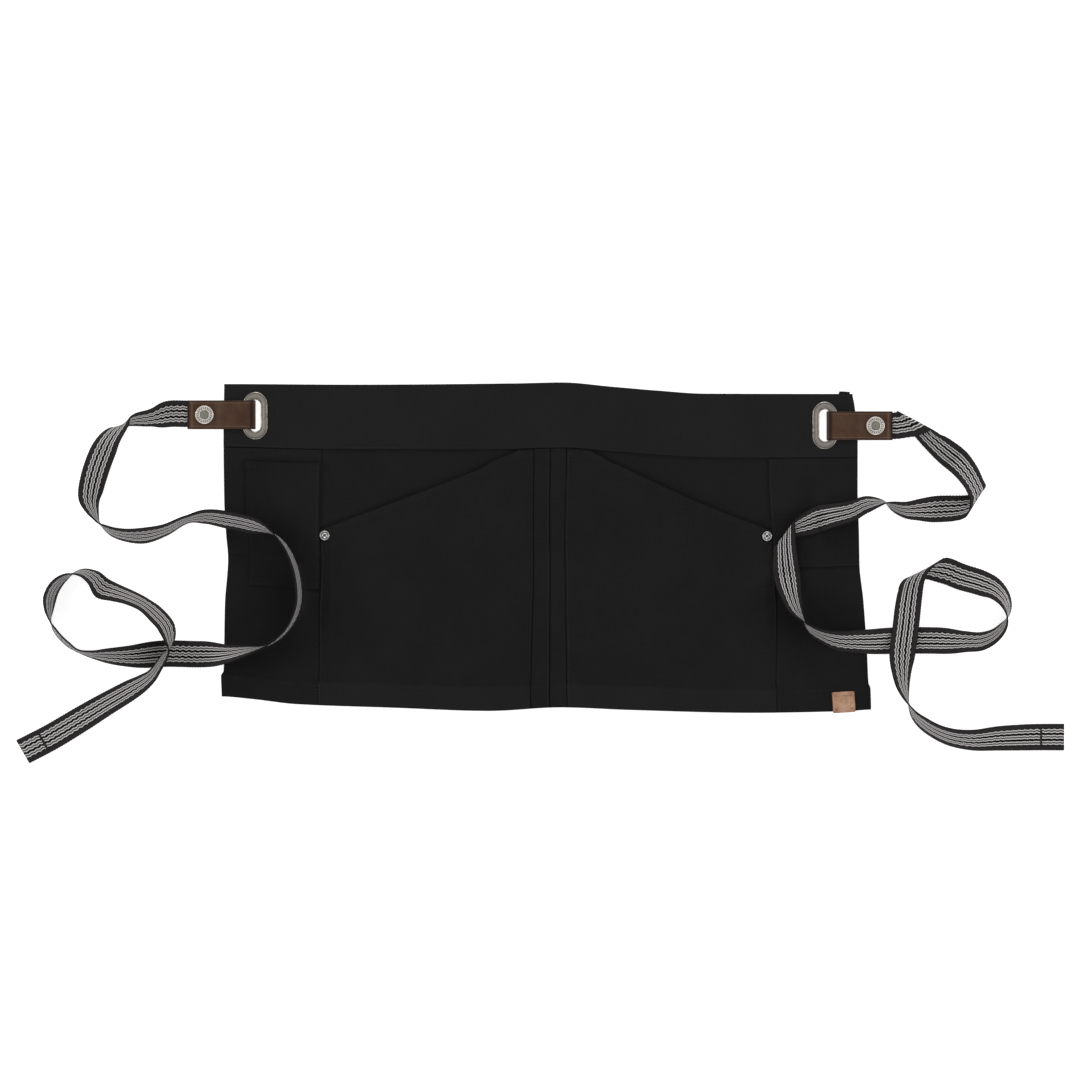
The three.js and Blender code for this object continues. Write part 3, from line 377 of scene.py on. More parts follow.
class Finish:
    def __init__(self, name, constants):
        self.material = bpy.data.materials.new(name)
        self.material.use_nodes = True
        self.tree = self.material.node_tree
        self.shader = self.tree.nodes["Principled BSDF"]
        for key, value in constants.items():
            self.shader.inputs[key].default_value = value

    def node(self, kind, settings=None, sockets=None, output=0):
        made = self.tree.nodes.new(kind)
        for key, value in (settings or {}).items():
            setattr(made, key, value)
        for key, value in (sockets or {}).items():
            if isinstance(value, Signal):
                self.tree.links.new(value.socket, made.inputs[key])
            else:
                made.inputs[key].default_value = value
        return Signal(self.tree, made.outputs[output])

    def place(self, source="Object"):
        return self.node("ShaderNodeTexCoord", output=source)

    def parts(self, vector):
        sockets = {"Vector": vector}
        return [self.node("ShaderNodeSeparateXYZ", sockets=sockets, output=axis) for axis in "XYZ"]

    def stretched(self, vector, scale, turn=0):
        sockets = {"Vector": vector, "Scale": scale, "Rotation": (0, 0, turn)}
        return self.node("ShaderNodeMapping", sockets=sockets)

    def cloud(self, vector, scale, detail=3, rough=0.55):
        sockets = {"Vector": vector, "Scale": scale, "Detail": detail, "Roughness": rough}
        return self.node("ShaderNodeTexNoise", {"noise_dimensions": "3D"}, sockets, "Fac")

    def specks(self, vector, scale):
        sockets = {"Vector": vector, "Scale": scale}
        return self.node("ShaderNodeTexVoronoi", {"feature": "F1"}, sockets, "Distance")

    def tint(self, share, first, second):
        # first where share is 0, second where it is 1. Each is a colour or a Signal.
        sockets = {0: share, 6: first, 7: second}
        return self.node("ShaderNodeMix", {"data_type": "RGBA"}, sockets, 2)

    def bump(self, height, distance, strength=1.0):
        sockets = {"Height": height, "Distance": distance, "Strength": strength}
        return self.node("ShaderNodeBump", sockets=sockets, output="Normal")

    def feed(self, key, signal):
        self.tree.links.new(signal.socket, self.shader.inputs[key])


canvasLook = {
    "dark": (0.0072, 0.0072, 0.0073, 1),
    "light": (0.0200, 0.0198, 0.0198, 1),
    "faded": (0.0300, 0.0295, 0.0295, 1),
    "doubled": 0.16,
    "threadSize": 0.62,
    "roughness": 0.9,
    "specular": 0.08,
}


def makeCanvas(name, lighter=0.0):
    look = canvasLook
    finish = Finish(name, {"Specular IOR Level": look["specular"]})
    place = finish.place()
    x, y = finish.parts(place)[:2]
    drift = finish.cloud(place, 90, 2)
    across = (x / (look["threadSize"] * mm) * (2 * math.pi) + drift * 2.5).sine()
    up = (y / (look["threadSize"] * mm) * (2 * math.pi) + drift * 2.5).sine()
    checker = across * up
    weave = checker * 0.5 + 0.5
    warp = finish.cloud(finish.stretched(place, (2200, 60, 60)), 1, 2)
    weft = finish.cloud(finish.stretched(place, (60, 2200, 60)), 1, 2)
    threads = (warp + weft) * 0.5
    fade = finish.cloud(place, 14, 4, 0.6)
    doubled = finish.node("ShaderNodeAttribute", {"attribute_name": "doubled"}, output="Fac")
    lint = finish.cloud(place, 1400, 2).ramp(0.66, 0.75)
    share = threads.ramp(0.3, 0.7) * 0.22 + weave * 0.14 + fade.ramp(0.3, 0.8) * 0.14 + (0.27 + lighter)
    # doubled cloth is lighter, and the painted lip shade pulls the mouth's edge down to a dark line
    share = (share + doubled * look["doubled"]).ramp(0, 1)
    colour = finish.tint(share, look["dark"], look["light"])
    colour = finish.tint(lint * 0.25, colour, look["faded"])
    finish.feed("Base Color", colour)
    finish.feed("Roughness", threads * 0.14 + (look["roughness"] - 0.07))
    height = weave * 0.5 + threads * 0.5
    finish.feed("Normal", finish.bump(height, 0.10 * mm, 0.8))
    return finish.material


canvas = makeCanvas("blackCanvas")
bandCanvas = makeCanvas("waistbandCanvas", 0.16)
facingCanvas = makeCanvas("facingCanvas", 0.04)

# the light bands along the thread's twist are a painted highlight
threadLook = {"dark": (0.017, 0.017, 0.0175, 1), "light": (0.058, 0.057, 0.056, 1), "twistGlint": 0.5}


def makeThread(name, share):
    finish = Finish(name, {"Specular IOR Level": 0.2, "Roughness": 0.7})
    x, y = finish.parts(finish.place())[:2]
    twistGlint = ((x + y) * (2 * math.pi / (threadLook["twistGlint"] * mm))).sine() * 0.5 + 0.5
    finish.feed("Base Color", finish.tint(twistGlint * share, threadLook["dark"], threadLook["light"]))
    return finish.material


# the same thread twice: seam rows get the painted highlight, quiet rows almost none
seamThread = makeThread("seamThread", 1.0)
quietThread = makeThread("quietThread", 0.05)

webbingLook = {
    "width": 25.4,
    "pairs": [0.268, 0.491, 0.716],
    "halfPair": 0.048,
    "lineCore": 0.010,
    "lineEdge": 0.028,
    "wavePeriod": 5.7,
    "waveReach": 0.018,
    "beadPeriod": 2.1,
    "pickPeriod": 1.9,
    "border": 0.178,
    "light": (0.98, 0.95, 0.945, 1),
    "shade": (0.42, 0.40, 0.40, 1),
    "between": (0.140, 0.130, 0.130, 1),
    "black": (0.0032, 0.0030, 0.0032, 1),
    "dark": (0.015, 0.0137, 0.0138, 1),
    "edge": (0.038, 0.034, 0.034, 1),
}


def makeWebbing():
    look = webbingLook
    finish = Finish("stripedWebbing", {"Specular IOR Level": 0.12, "Roughness": 0.85})
    place = finish.place()
    across, along = finish.parts(finish.place("UV"))[:2]
    drift = finish.cloud(place, 60, 2) * 1.5
    fuzz = finish.cloud(place, 1100, 3)
    waves = along / (look["wavePeriod"] * mm) * (2 * math.pi) + drift
    beads = along / (look["beadPeriod"] * mm) * (2 * math.pi) + drift
    reach = finish.cloud(place, 28, 2).ramp(0.3, 0.7) * look["waveReach"] + 0.003
    lines, glints, betweens = 0, 0, 0
    for number, pair in enumerate(look["pairs"]):
        sway = (waves + number * 0.5).sine() * reach
        betweens = betweens + (abs(across - pair + sway) < look["halfPair"])
        for side in (-1, 1):
            off = abs(across - (pair + side * look["halfPair"]) + sway)
            line = 1 - off.ramp(look["lineCore"], look["lineEdge"])
            glint = (beads + (number * 2.1 + side * 1.3)).sine() * 0.5 + 0.5
            lines = lines + line
            glints = glints + line * glint
    lines = lines.ramp(0, 1)
    light = finish.tint(glints * 0.75 + fuzz * 0.3, look["shade"], look["light"])
    picks = (along / (look["pickPeriod"] * mm) * (2 * math.pi)).sine() * 0.5 + 0.5
    fromEdge = 0.5 - abs(across - 0.5)
    inner = fromEdge.ramp(look["border"] - 0.008, look["border"] + 0.008)
    outer = 1 - fromEdge.ramp(0.004, 0.03)
    ground = finish.tint(picks * 0.35 + fuzz * 0.6, look["dark"], look["edge"])
    ground = finish.tint(inner, ground, look["black"])
    ground = finish.tint(outer * 0.6, ground, look["black"])
    ground = finish.tint(betweens * (fuzz.ramp(0.35, 0.7) * 0.4 + 0.5), ground, look["between"])
    finish.feed("Base Color", finish.tint(lines, ground, light))
    ribs = (across * (look["width"] / 0.85) * (2 * math.pi)).sine() * 0.5 + 0.5
    height = lines * 0.8 + glints * 0.4 + picks * ribs * 0.3
    finish.feed("Normal", finish.bump(height, 0.28 * mm, 0.9))
    return finish.material


webbing = makeWebbing()

leatherLook = {
    "deep": (0.018, 0.0075, 0.0062, 1),
    "brown": (0.062, 0.0270, 0.0155, 1),
    "worn": (0.115, 0.0660, 0.0400, 1),
    "crease": (0.150, 0.0920, 0.0600, 1),
    "press": 0.045,
    "ridge": 0.092,
    "lineWidth": 0.026,
    "foldShade": 0.455,
    "foldWidth": 0.032,
    "tip": 0.986,
    "tipRidge": 0.962,
}


def makeLeather():
    look = leatherLook
    finish = Finish("brownLeather", {"Specular IOR Level": 0.2})
    place = finish.place()
    across, along = finish.parts(finish.place("UV"))[:2]
    fromEdge = 0.5 - abs(across - 0.5)
    press = 1 - abs(fromEdge - look["press"]).ramp(0, look["lineWidth"])
    ridge = 1 - abs(fromEdge - look["ridge"]).ramp(0, look["lineWidth"])
    rim = 1 - fromEdge.ramp(0.004, 0.03)
    foldShade = 1 - abs(along - look["foldShade"]).ramp(0, look["foldWidth"])
    tip = along.ramp(look["tip"] - 0.008, look["tip"] + 0.004)
    tipRidge = 1 - abs(along - look["tipRidge"]).ramp(0, 0.014)
    mottle = finish.cloud(place, 210, 4, 0.6)
    broad = finish.cloud(place, 42, 2)
    pores = finish.specks(place, 1500)
    scuff = finish.cloud(finish.stretched(place, (420, 60, 200), 0.5), 1, 3).ramp(0.6, 0.74)
    share = mottle.ramp(0.3, 0.7) * 0.22 + broad.ramp(0.3, 0.7) * 0.5
    colour = finish.tint(share, look["brown"], look["worn"])
    colour = finish.tint(scuff * 0.2, colour, look["worn"])
    colour = finish.tint((ridge + tipRidge) * 0.75, colour, look["crease"])
    colour = finish.tint(press * 0.55, colour, look["deep"])
    # darker at the long edges and the tip, and painted shade across the fold
    colour = finish.tint((rim + foldShade + tip).ramp(0, 1) * 0.85, colour, look["deep"])
    finish.feed("Base Color", colour)
    finish.feed("Roughness", 0.6 - mottle * 0.14 + scuff * 0.1)
    height = mottle * 0.25 + pores.ramp(0, 0.5) * 0.2 - press * 1.6 + ridge * 0.8
    finish.feed("Normal", finish.bump(height, 0.14 * mm, 0.8))
    return finish.material


brownLeather = makeLeather()

patinaAndShade = (0.045, 0.041, 0.037, 1)


def makeMetal(name, bright, dull, roughness, metallic=1.0):
    finish = Finish(name, {"Metallic": metallic})
    place = finish.place()
    stain = finish.cloud(place, 260, 4, 0.62)
    fine = finish.cloud(place, 1800, 3)
    scratch = finish.cloud(finish.stretched(place, (300, 4200, 300), 0.6), 1, 2).ramp(0.6, 0.72)
    grooves = finish.node("ShaderNodeAttribute", {"attribute_name": "grooves"}, output="Fac")
    worn = stain.ramp(0.35, 0.68)
    colour = finish.tint(worn * 0.75 + fine * 0.25, dull, bright)
    # patina and painted shade darken the grooves and hollows
    finish.feed("Base Color", finish.tint(grooves, colour, patinaAndShade))
    finish.feed("Roughness", roughness + 0.22 * (1 - worn) + fine * 0.08 - scratch * 0.08)
    finish.feed("Normal", finish.bump(fine * 0.5 + scratch * 0.5, 0.05 * mm, 0.6))
    return finish.material


darkNickel = makeMetal("antiqueNickel", (0.88, 0.80, 0.73, 1), (0.40, 0.355, 0.32, 1), 0.24)
brightNickel = makeMetal("satinNickel", (0.95, 0.91, 0.85, 1), (0.72, 0.67, 0.61, 1), 0.28, 0.45)
centreNickel = makeMetal("dishedNickel", (0.50, 0.48, 0.40, 1), (0.36, 0.34, 0.285, 1), 0.42)
rivetNickel = makeMetal("rivetNickel", (0.90, 0.90, 0.88, 1), (0.50, 0.50, 0.49, 1), 0.28)

tanLook = {
    "tan": (0.45, 0.245, 0.150, 1),
    "pale": (0.64, 0.40, 0.27, 1),
    "rust": (0.270, 0.098, 0.064, 1),
    "rustPale": (0.36, 0.150, 0.105, 1),
}


def makeTan():
    look = tanLook
    finish = Finish("tanLeather", {"Specular IOR Level": 0.25})
    place = finish.place()
    tooled = finish.node("ShaderNodeAttribute", {"attribute_name": "tooled"}, output="Fac")
    mottle = finish.cloud(place, 160, 4, 0.6)
    pores = finish.specks(place, 1700)
    plain = finish.tint(mottle.ramp(0.3, 0.7), look["tan"], look["pale"])
    pressed = finish.tint(mottle.ramp(0.35, 0.7), look["rust"], look["rustPale"])
    finish.feed("Base Color", finish.tint(tooled, plain, pressed))
    finish.feed("Roughness", 0.66 - mottle * 0.16)
    finish.feed("Normal", finish.bump(mottle * 0.4 + pores * 0.4, 0.14 * mm, 0.8))
    return finish.material


tanLeather = makeTan()
print("materials made")


# Making pieces

def pickNone():
    if bpy.context.mode != "OBJECT":
        bpy.ops.object.mode_set(mode="OBJECT")
    bpy.ops.object.select_all(action="DESELECT")


def only(piece):
    pickNone()
    piece.select_set(True)
    bpy.context.view_layer.objects.active = piece


def editMode(piece, pick="SELECT"):
    only(piece)
    bpy.ops.object.mode_set(mode="EDIT")
    bpy.ops.mesh.select_all(action=pick)


def objectMode():
    bpy.ops.object.mode_set(mode="OBJECT")


def applyAll(piece):
    only(piece)
    for modifier in list(piece.modifiers):
        bpy.ops.object.modifier_apply(modifier=modifier.name)


def settle(piece):
    # the place goes into the mesh
    only(piece)
    bpy.ops.object.transform_apply(location=True, rotation=True, scale=True)


def dress(piece, material):
    piece.data.materials.clear()
    piece.data.materials.append(material)
    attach(piece, "root")


def joined(pieces, name):
    only(pieces[0])
    for piece in pieces[1:]:
        piece.select_set(True)
    bpy.ops.object.join()
    pieces[0].name = name
    bpy.ops.object.shade_smooth()
    return pieces[0]


def roundEdges(piece, width, degrees):
    edge = piece.modifiers.new("edge", "BEVEL")
    edge.width = width * mm
    edge.segments = 2
    edge.limit_method = "ANGLE"
    edge.angle_limit = math.radians(degrees)


def thicken(piece, thickness, rounding, degrees):
    wall = piece.modifiers.new("wall", "SOLIDIFY")
    wall.thickness = thickness * mm
    wall.offset = 0
    roundEdges(piece, rounding, degrees)
    applyAll(piece)


def addGrid(name, cells):
    # a flat grid, and each of its points' shares of the two sides
    pickNone()
    bpy.ops.mesh.primitive_grid_add(x_subdivisions=cells[0], y_subdivisions=cells[1], size=1)
    piece = bpy.context.active_object
    piece.name = name
    flat = np.empty(len(piece.data.vertices) * 3)
    piece.data.vertices.foreach_get("co", flat)
    flat = flat.reshape(-1, 3)
    return piece, flat[:, 0] + 0.5, flat[:, 1] + 0.5


def makeSheet(name, cells, surface, thickness, rounding=0.4, holes=(), doubled=None):
    # a grid laid on surface(u, v), in millimetres, and given its thickness on both sides of it
    piece, u, v = addGrid(name, cells)
    mesh = piece.data
    points = np.stack([np.broadcast_to(axis, u.shape) for axis in surface(u, v)], axis=1)
    mesh.vertices.foreach_set("co", (points * mm).ravel())
    if doubled:
        layer = mesh.attributes.new("doubled", "FLOAT", "POINT")
        layer.data.foreach_set("value", np.broadcast_to(doubled(u, v), u.shape).astype(np.float32))
    mesh.update()
    if holes:
        centres = np.array([face.center[:] for face in mesh.polygons]) / mm
        editMode(piece, "DESELECT")
        objectMode()
        for spot in holes:
            up = np.maximum(np.abs(centres[:, 1] - spot["y"]) - spot["straight"], 0)
            inside = np.hypot(centres[:, 0] - spot["x"], up) < spot["radius"]
            for index in np.nonzero(inside)[0]:
                mesh.polygons[int(index)].select = True
        bpy.ops.object.mode_set(mode="EDIT")
        bpy.ops.mesh.delete(type="FACE")
        objectMode()
    thicken(piece, thickness, rounding, 40)
    bpy.ops.object.shade_smooth_by_angle(angle=math.radians(50))
    return piece


def denser(t, pull=0.8):
    # shares of a side, closer together at both ends
    return t - pull * np.sin(2 * math.pi * t) / (2 * math.pi)


def topOfPanel(x, y, across, up):
    return liftAt(across, up) + cloth["thickness"] + hemRiseAt(up) + lieOfCloth(x, y)


def layerHeight(x, y, across, up, thickness):
    return topOfPanel(x, y, across, up) + cloth["gap"] + thickness / 2


def panelSurface(u, v):
    across, up = denser(u, 0.6), denser(v, 0.6) * (waistUp + 0.5 / high)
    x, y = onPanel(across, up)
    return x, y, topOfPanel(x, y, across, up) - cloth["thickness"] / 2


def hemTurnSurface(u, v):
    across, up = denser(u, 0.4), v * hemUp
    x, y = onPanel(across, up)
    return x, y, cloth["hemRise"] / 2 + lieOfCloth(x, y) - 0.03


def waistbandSurface(u, v):
    across, up = denser(u, 0.5), mix(waistUp, 1, denser(v, 0.7))
    x, y = onPanel(across, up)
    z = liftAt(across, up) + cloth["waistbandThickness"] / 2 + lieOfCloth(x, y)
    fromLow = (up - waistUp) * high
    fromTop = (1 - up) * high
    z = z + seamPucker(fromLow - 2.0, x, 1.0) + 0.5 * seamPucker(fromTop - 3.0, x, 2.2)
    wave = 0.25 * np.sin(x / 17 + np.sin(y / 9))
    return x, y, z + wave * smoothStep(fromLow / 14) * smoothStep(fromTop / 14)


panelPiece = makeSheet("clothPanel", (250, 118), panelSurface, cloth["thickness"])
dress(panelPiece, canvas)
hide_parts("apron_panel")

hemPiece = makeSheet("hemTurn", (300, 8), hemTurnSurface, cloth["thickness"] - 0.1, 0.3)
dress(hemPiece, canvas)

bandThickness = cloth["waistbandThickness"] - 0.4
bandPiece = makeSheet("clothBand", (400, 44), waistbandSurface, bandThickness, 0.8, bandHoles)
dress(bandPiece, bandCanvas)
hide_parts("waistband", "waistband_end_left", "waistband_end_right")

# a folded corner of cloth stands out behind the band's right end
cornerLook = {"left": 0.9765, "right": 0.9965, "low": 0.9735, "top": 1.0075, "thickness": 0.8}


def cornerSurface(u, v):
    across = mix(cornerLook["left"] + 0.002 * v, cornerLook["right"] - 0.001 * v, u)
    up = mix(cornerLook["low"], cornerLook["top"] + 0.0006 * np.sin(u * 5), v)
    x, y = onPanel(across, up)
    return x, y, liftAt(across, up) + cloth["waistbandThickness"] / 2 + 0.1 * np.sin(u * 9) * v


corner = makeSheet("bandCorner", (16, 12), cornerSurface, cornerLook["thickness"], 0.25)
dress(corner, bandCanvas)
print("panel, hem and waistband made")


# Side facings

def facingSurface(side):
    def surface(u, v):
        up = mix(facingUp, seamUp, denser(v))
        if side == "left":
            across = mix(0, seamAt("left", up, -cloth["seamGap"] / 2), denser(u, 0.6))
        else:
            across = mix(seamAt("right", up, cloth["seamGap"] / 2), 1, denser(u, 0.6))
        x, y = onPanel(across, up)
        z = layerHeight(x, y, across, up, cloth["thickness"])
        fromLow = (up - facingUp) * high
        return x, y, z + seamPucker(fromLow - 2.0, x, 3.1, 0.18)
    return surface


for side in ("left", "right"):
    facing = makeSheet("facing_" + side, (56, 70), facingSurface(side), cloth["thickness"])
    dress(facing, facingCanvas)
    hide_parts("side_facing_" + side)


def pencilSurface(u, v):
    up = mix(pencilLowUp, pencilTopUp, denser(v))
    across = mix(cloth["pencilInset"] / wide, seamAt("left", up, -cloth["rivetClear"]), denser(u))
    x, y = onPanel(across, up)
    z = layerHeight(x, y, across, up, cloth["thickness"])
    z = z + (cloth["thickness"] + cloth["gap"]) * smoothStep(1 - (facingUp - up) / slopeUp)
    fromTop = (pencilTopUp - up) * high
    fromLeft = (across - cloth["pencilInset"] / wide) * wide
    fromRight = (seamAt("left", up, -cloth["rivetClear"]) - across) * wide
    z = z + 0.5 * smoothStep((cloth["mouthHem"] + 1.5 - fromTop) / 3)
    gape = 1.0 * np.sin(np.clip(fromLeft / 72, 0, 1) * math.pi) * np.exp(-fromTop / 14)
    z = z + gape + seamPucker(fromLeft - 1.8, y, 0.4, 0.2) + seamPucker(fromRight - 1.8, y, 5.0, 0.2)
    z = z + seamPucker(fromTop - cloth["mouthHem"], x, 1.9, 0.14)
    return x, y, z


def pencilLip(u, v):
    # painted shade: a dark line along the pocket's top edge
    fromTop = (1 - denser(v)) * cloth["pencilHeight"]
    return -2.4 * (1 - smoothStep((fromTop - 0.4) / 0.8))


pencil = makeSheet("pencilPocket", (60, 92), pencilSurface, cloth["thickness"], doubled=pencilLip)
dress(pencil, canvas)
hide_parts("pencil_pocket")


# Big pockets with slanted mouths

pocketTables = {
    "left": {"from": "left", "to": "tuckLeft", "mouth": leftMouth},
    "right": {"from": "tuckRight", "to": "right", "mouth": rightMouth},
}


def mouthUpAt(table, share):
    return np.interp(share, column(table["mouth"], "across"), column(table["mouth"], "up")) * seamUp


def pocketPlace(table, share, v):
    up = mouthUpAt(table, share) * v
    start = seamAt(table["from"], up, cloth["seamGap"] / 2)
    end = seamAt(table["to"], up, -cloth["seamGap"] / 2)
    return mix(start, end, share), up


def pocketSurface(table):
    def surface(u, v):
        share = denser(u)
        across, up = pocketPlace(table, share, denser(v))
        top = mouthUpAt(table, share)
        x, y = onPanel(across, up)
        z = layerHeight(x, y, across, up, cloth["thickness"])
        fromTop = (top - up) * high * 0.94
        span = (seamAt(table["to"], up) - seamAt(table["from"], up)) * wide
        fromLeft, fromRight = share * span, (1 - share) * span
        z = z + 0.5 * smoothStep((cloth["mouthHem"] + 1.5 - fromTop) / 3)
        free = smoothStep(fromLeft / 60) * smoothStep(fromRight / 60)
        z = z + 1.0 * free * np.exp(-fromTop / 8)
        z = z + seamPucker(fromLeft - 2.0, y, 0.7) + seamPucker(fromRight - 2.0, y, 4.2)
        z = z + seamPucker(fromTop - cloth["mouthHem"], x, 2.9, 0.16)
        z = z + 0.5 * np.exp(-((fromLeft - 9) / 3) ** 2) + 0.4 * np.exp(-((fromRight - 9) / 3) ** 2)
        fromHem = up * high
        return x, y, z + seamPucker(fromHem - cloth["hemHeight"] + 1.5, x, 1.1, 0.2)

    def doubled(u, v):
        across, up = pocketPlace(table, denser(u), denser(v))
        fromTop = (mouthUpAt(table, denser(u)) - up) * high
        wander = 0.5 + 0.5 * np.sin(u * 23 + 2 * np.sin(u * 9))
        atMouth = (0.1 + 0.35 * wander) * (1 - smoothStep((fromTop - 3) / 8))
        # painted shade: a dark line along the mouth's lip
        lipShade = 1 - smoothStep((fromTop - 0.5) / 0.9)
        return np.maximum(atMouth, 1 - smoothStep((up * high - cloth["hemHeight"]) / 2)) - 3 * lipShade
    return surface, doubled


for side, table in pocketTables.items():
    surface, doubled = pocketSurface(table)
    pocket = makeSheet("bigPocket_" + side, (140, 150), surface, cloth["thickness"], doubled=doubled)
    dress(pocket, canvas)
    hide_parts("big_pocket_" + side)


tuckTables = {
    "left": {"from": "tuckLeft", "to": "tuckMiddle", "thickness": 1.6},
    "right": {"from": "tuckMiddle", "to": "tuckRight", "thickness": 1.0},
}


def tuckSurface(table):
    def surface(u, v):
        up = denser(v, 0.5) * seamUp
        start = seamAt(table["from"], up, cloth["seamGap"] / 2)
        end = seamAt(table["to"], up, -cloth["seamGap"] / 2)
        across = mix(start, end, u)
        x, y = onPanel(across, up)
        z = layerHeight(x, y, across, up, table["thickness"])
        crown = 0.35 if table["thickness"] > 1.2 else 0.1
        return x, y, z + crown * np.sin(u * math.pi) + 0.12 * np.sin(y / 8.5)
    return surface


for side, table in tuckTables.items():
    tuck = makeSheet("centreTuck_" + side, (16, 130), tuckSurface(table), table["thickness"] - 0.1, 0.45)
    dress(tuck, canvas)
    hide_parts("tuck_" + side)
clothNames = ("cloth", "hemTurn", "facing", "pencilPocket", "bigPocket", "centreTuck")
print("pockets, facings and tucks made")


# Ties, laid as the CAD routes go. x and y are millimetres, of which only the steps from
# the first row count. A row that names nothing it rests on is on the floor.

tieLook = {"width": 25.4, "thickness": 1.3, "hidden": 27, "step": 0.65, "cells": 14}
restHeights = {
    "tab": 1.8,
    "floor": 0,
    "panel": 1.3,
    "facing": 2.8,
    "pocket": 4.5,
    "tie": 1.6,
    "tippedTie": 4.2,
}
leftRoute = [
    {"x": -315, "y": 126, "across": 90, "tilt": 0, "on": "tab"},
    {"x": -345, "y": 127, "across": 90, "tilt": 0, "on": "tab"},
    {"x": -359, "y": 127, "across": 90, "tilt": 5},
    {"x": -378, "y": 123, "across": 90, "tilt": 52},
    {"x": -399, "y": 119.5, "across": 52, "tilt": 62},
    {"x": -407, "y": 114, "across": 4, "tilt": 46},
    {"x": -417, "y": 102, "across": -15, "tilt": 31},
    {"x": -423, "y": 90, "across": -13, "tilt": 8},
    {"x": -430.5, "y": 69, "across": -9, "tilt": -8},
    {"x": -434, "y": 54, "across": 0, "tilt": -20},
    {"x": -435, "y": 43, "across": 6, "tilt": -45},
    {"x": -432, "y": 33, "across": 6, "tilt": -66},
    {"x": -427.5, "y": 24, "across": -35, "tilt": -80},
    {"x": -416, "y": 15.5, "across": -80, "tilt": -70},
    {"x": -402, "y": 11.5, "across": -88, "tilt": -63},
    {"x": -383, "y": 11, "across": -88, "tilt": -55},
    {"x": -364, "y": 16, "across": -70, "tilt": -65},
    {"x": -342, "y": 26.5, "across": -65, "tilt": -74},
    {"x": -326, "y": 29, "across": -93, "tilt": -60, "on": "panel"},
    {"x": -304, "y": 26, "across": -100, "tilt": -51, "on": "facing"},
    {"x": -283, "y": 21.5, "across": -103, "tilt": -52, "on": "pocket"},
    {"x": -270, "y": 17.5, "across": -115, "tilt": -68, "on": "pocket"},
    {"x": -261.5, "y": 13.5, "across": -127, "tilt": -86, "on": "pocket"},
    {"x": -252.5, "y": 5.5, "across": -143, "tilt": -97, "on": "pocket"},
    {"x": -242, "y": -12.5, "across": -158, "tilt": -102, "on": "pocket"},
    {"x": -236.5, "y": -33.5, "across": -175, "tilt": -103, "on": "pocket"},
    {"x": -236.5, "y": -56, "across": -188, "tilt": -102, "on": "pocket"},
    {"x": -244.5, "y": -75, "across": -215, "tilt": -98, "on": "facing"},
    {"x": -256, "y": -87.5, "across": -230, "tilt": -94, "on": "facing"},
    {"x": -267.5, "y": -94.5, "across": -245, "tilt": -90, "on": "facing"},
    {"x": -285, "y": -98.5, "across": -257, "tilt": -70, "on": "facing"},
    {"x": -304, "y": -101.5, "across": -263, "tilt": -47, "on": "facing"},
    {"x": -330.5, "y": -102, "across": -270, "tilt": -8},
    {"x": -364, "y": -101.5, "across": -270, "tilt": 0},
    {"x": -397, "y": -104, "across": -267, "tilt": 37},
    {"x": -418, "y": -103.5, "across": -272, "tilt": 57},
    {"x": -433.5, "y": -102, "across": -277, "tilt": 75},
    {"x": -446.5, "y": -98.5, "across": -290, "tilt": 84},
    {"x": -456, "y": -92, "across": -310, "tilt": 80},
    {"x": -466.5, "y": -81, "across": -328, "tilt": 81},
    {"x": -472.5, "y": -69.5, "across": -345, "tilt": 91},
    {"x": -473.5, "y": -59, "across": -357, "tilt": 108},
    {"x": -472.5, "y": -47.5, "across": -373, "tilt": 117},
    {"x": -467.5, "y": -37, "across": -400, "tilt": 114},
    {"x": -458, "y": -28.5, "across": -425, "tilt": 103},
    {"x": -451.5, "y": -25.5, "across": -440, "tilt": 90},
    {"x": -443, "y": -24.5, "across": -457, "tilt": 75},
    {"x": -432.5, "y": -28.5, "across": -485, "tilt": 57},
    {"x": -423, "y": -39, "across": -482, "tilt": 36},
    {"x": -411.5, "y": -43, "across": -470, "tilt": 48},
    {"x": -399.5, "y": -47, "across": -470, "tilt": 56},
    {"x": -384.5, "y": -54, "across": -482, "tilt": 59},
    {"x": -371, "y": -65, "across": -491, "tilt": 52},
    {"x": -362.5, "y": -75, "across": -512, "tilt": 52, "on": "tie"},
    {"x": -359, "y": -86, "across": -530, "tilt": 64, "on": "tie"},
    {"x": -359.5, "y": -97, "across": -547, "tilt": 90, "on": "tie"},
    {"x": -364.5, "y": -106, "across": -565, "tilt": 107, "on": "tie"},
    {"x": -370, "y": -114.5, "across": -575, "tilt": 110, "on": "tie"},
    {"x": -375.5, "y": -122, "across": -582, "tilt": 116},
    {"x": -383, "y": -128, "across": -590, "tilt": 126},
    {"x": -397, "y": -136.5, "across": -597, "tilt": 140},
    {"x": -419.5, "y": -149.5, "across": -599, "tilt": 150},
    {"x": -443.5, "y": -164, "across": -600, "tilt": 163},
    {"x": -472, "y": -181, "across": -600, "tilt": 171},
    {"x": -499, "y": -195, "across": -600, "tilt": 180},
]
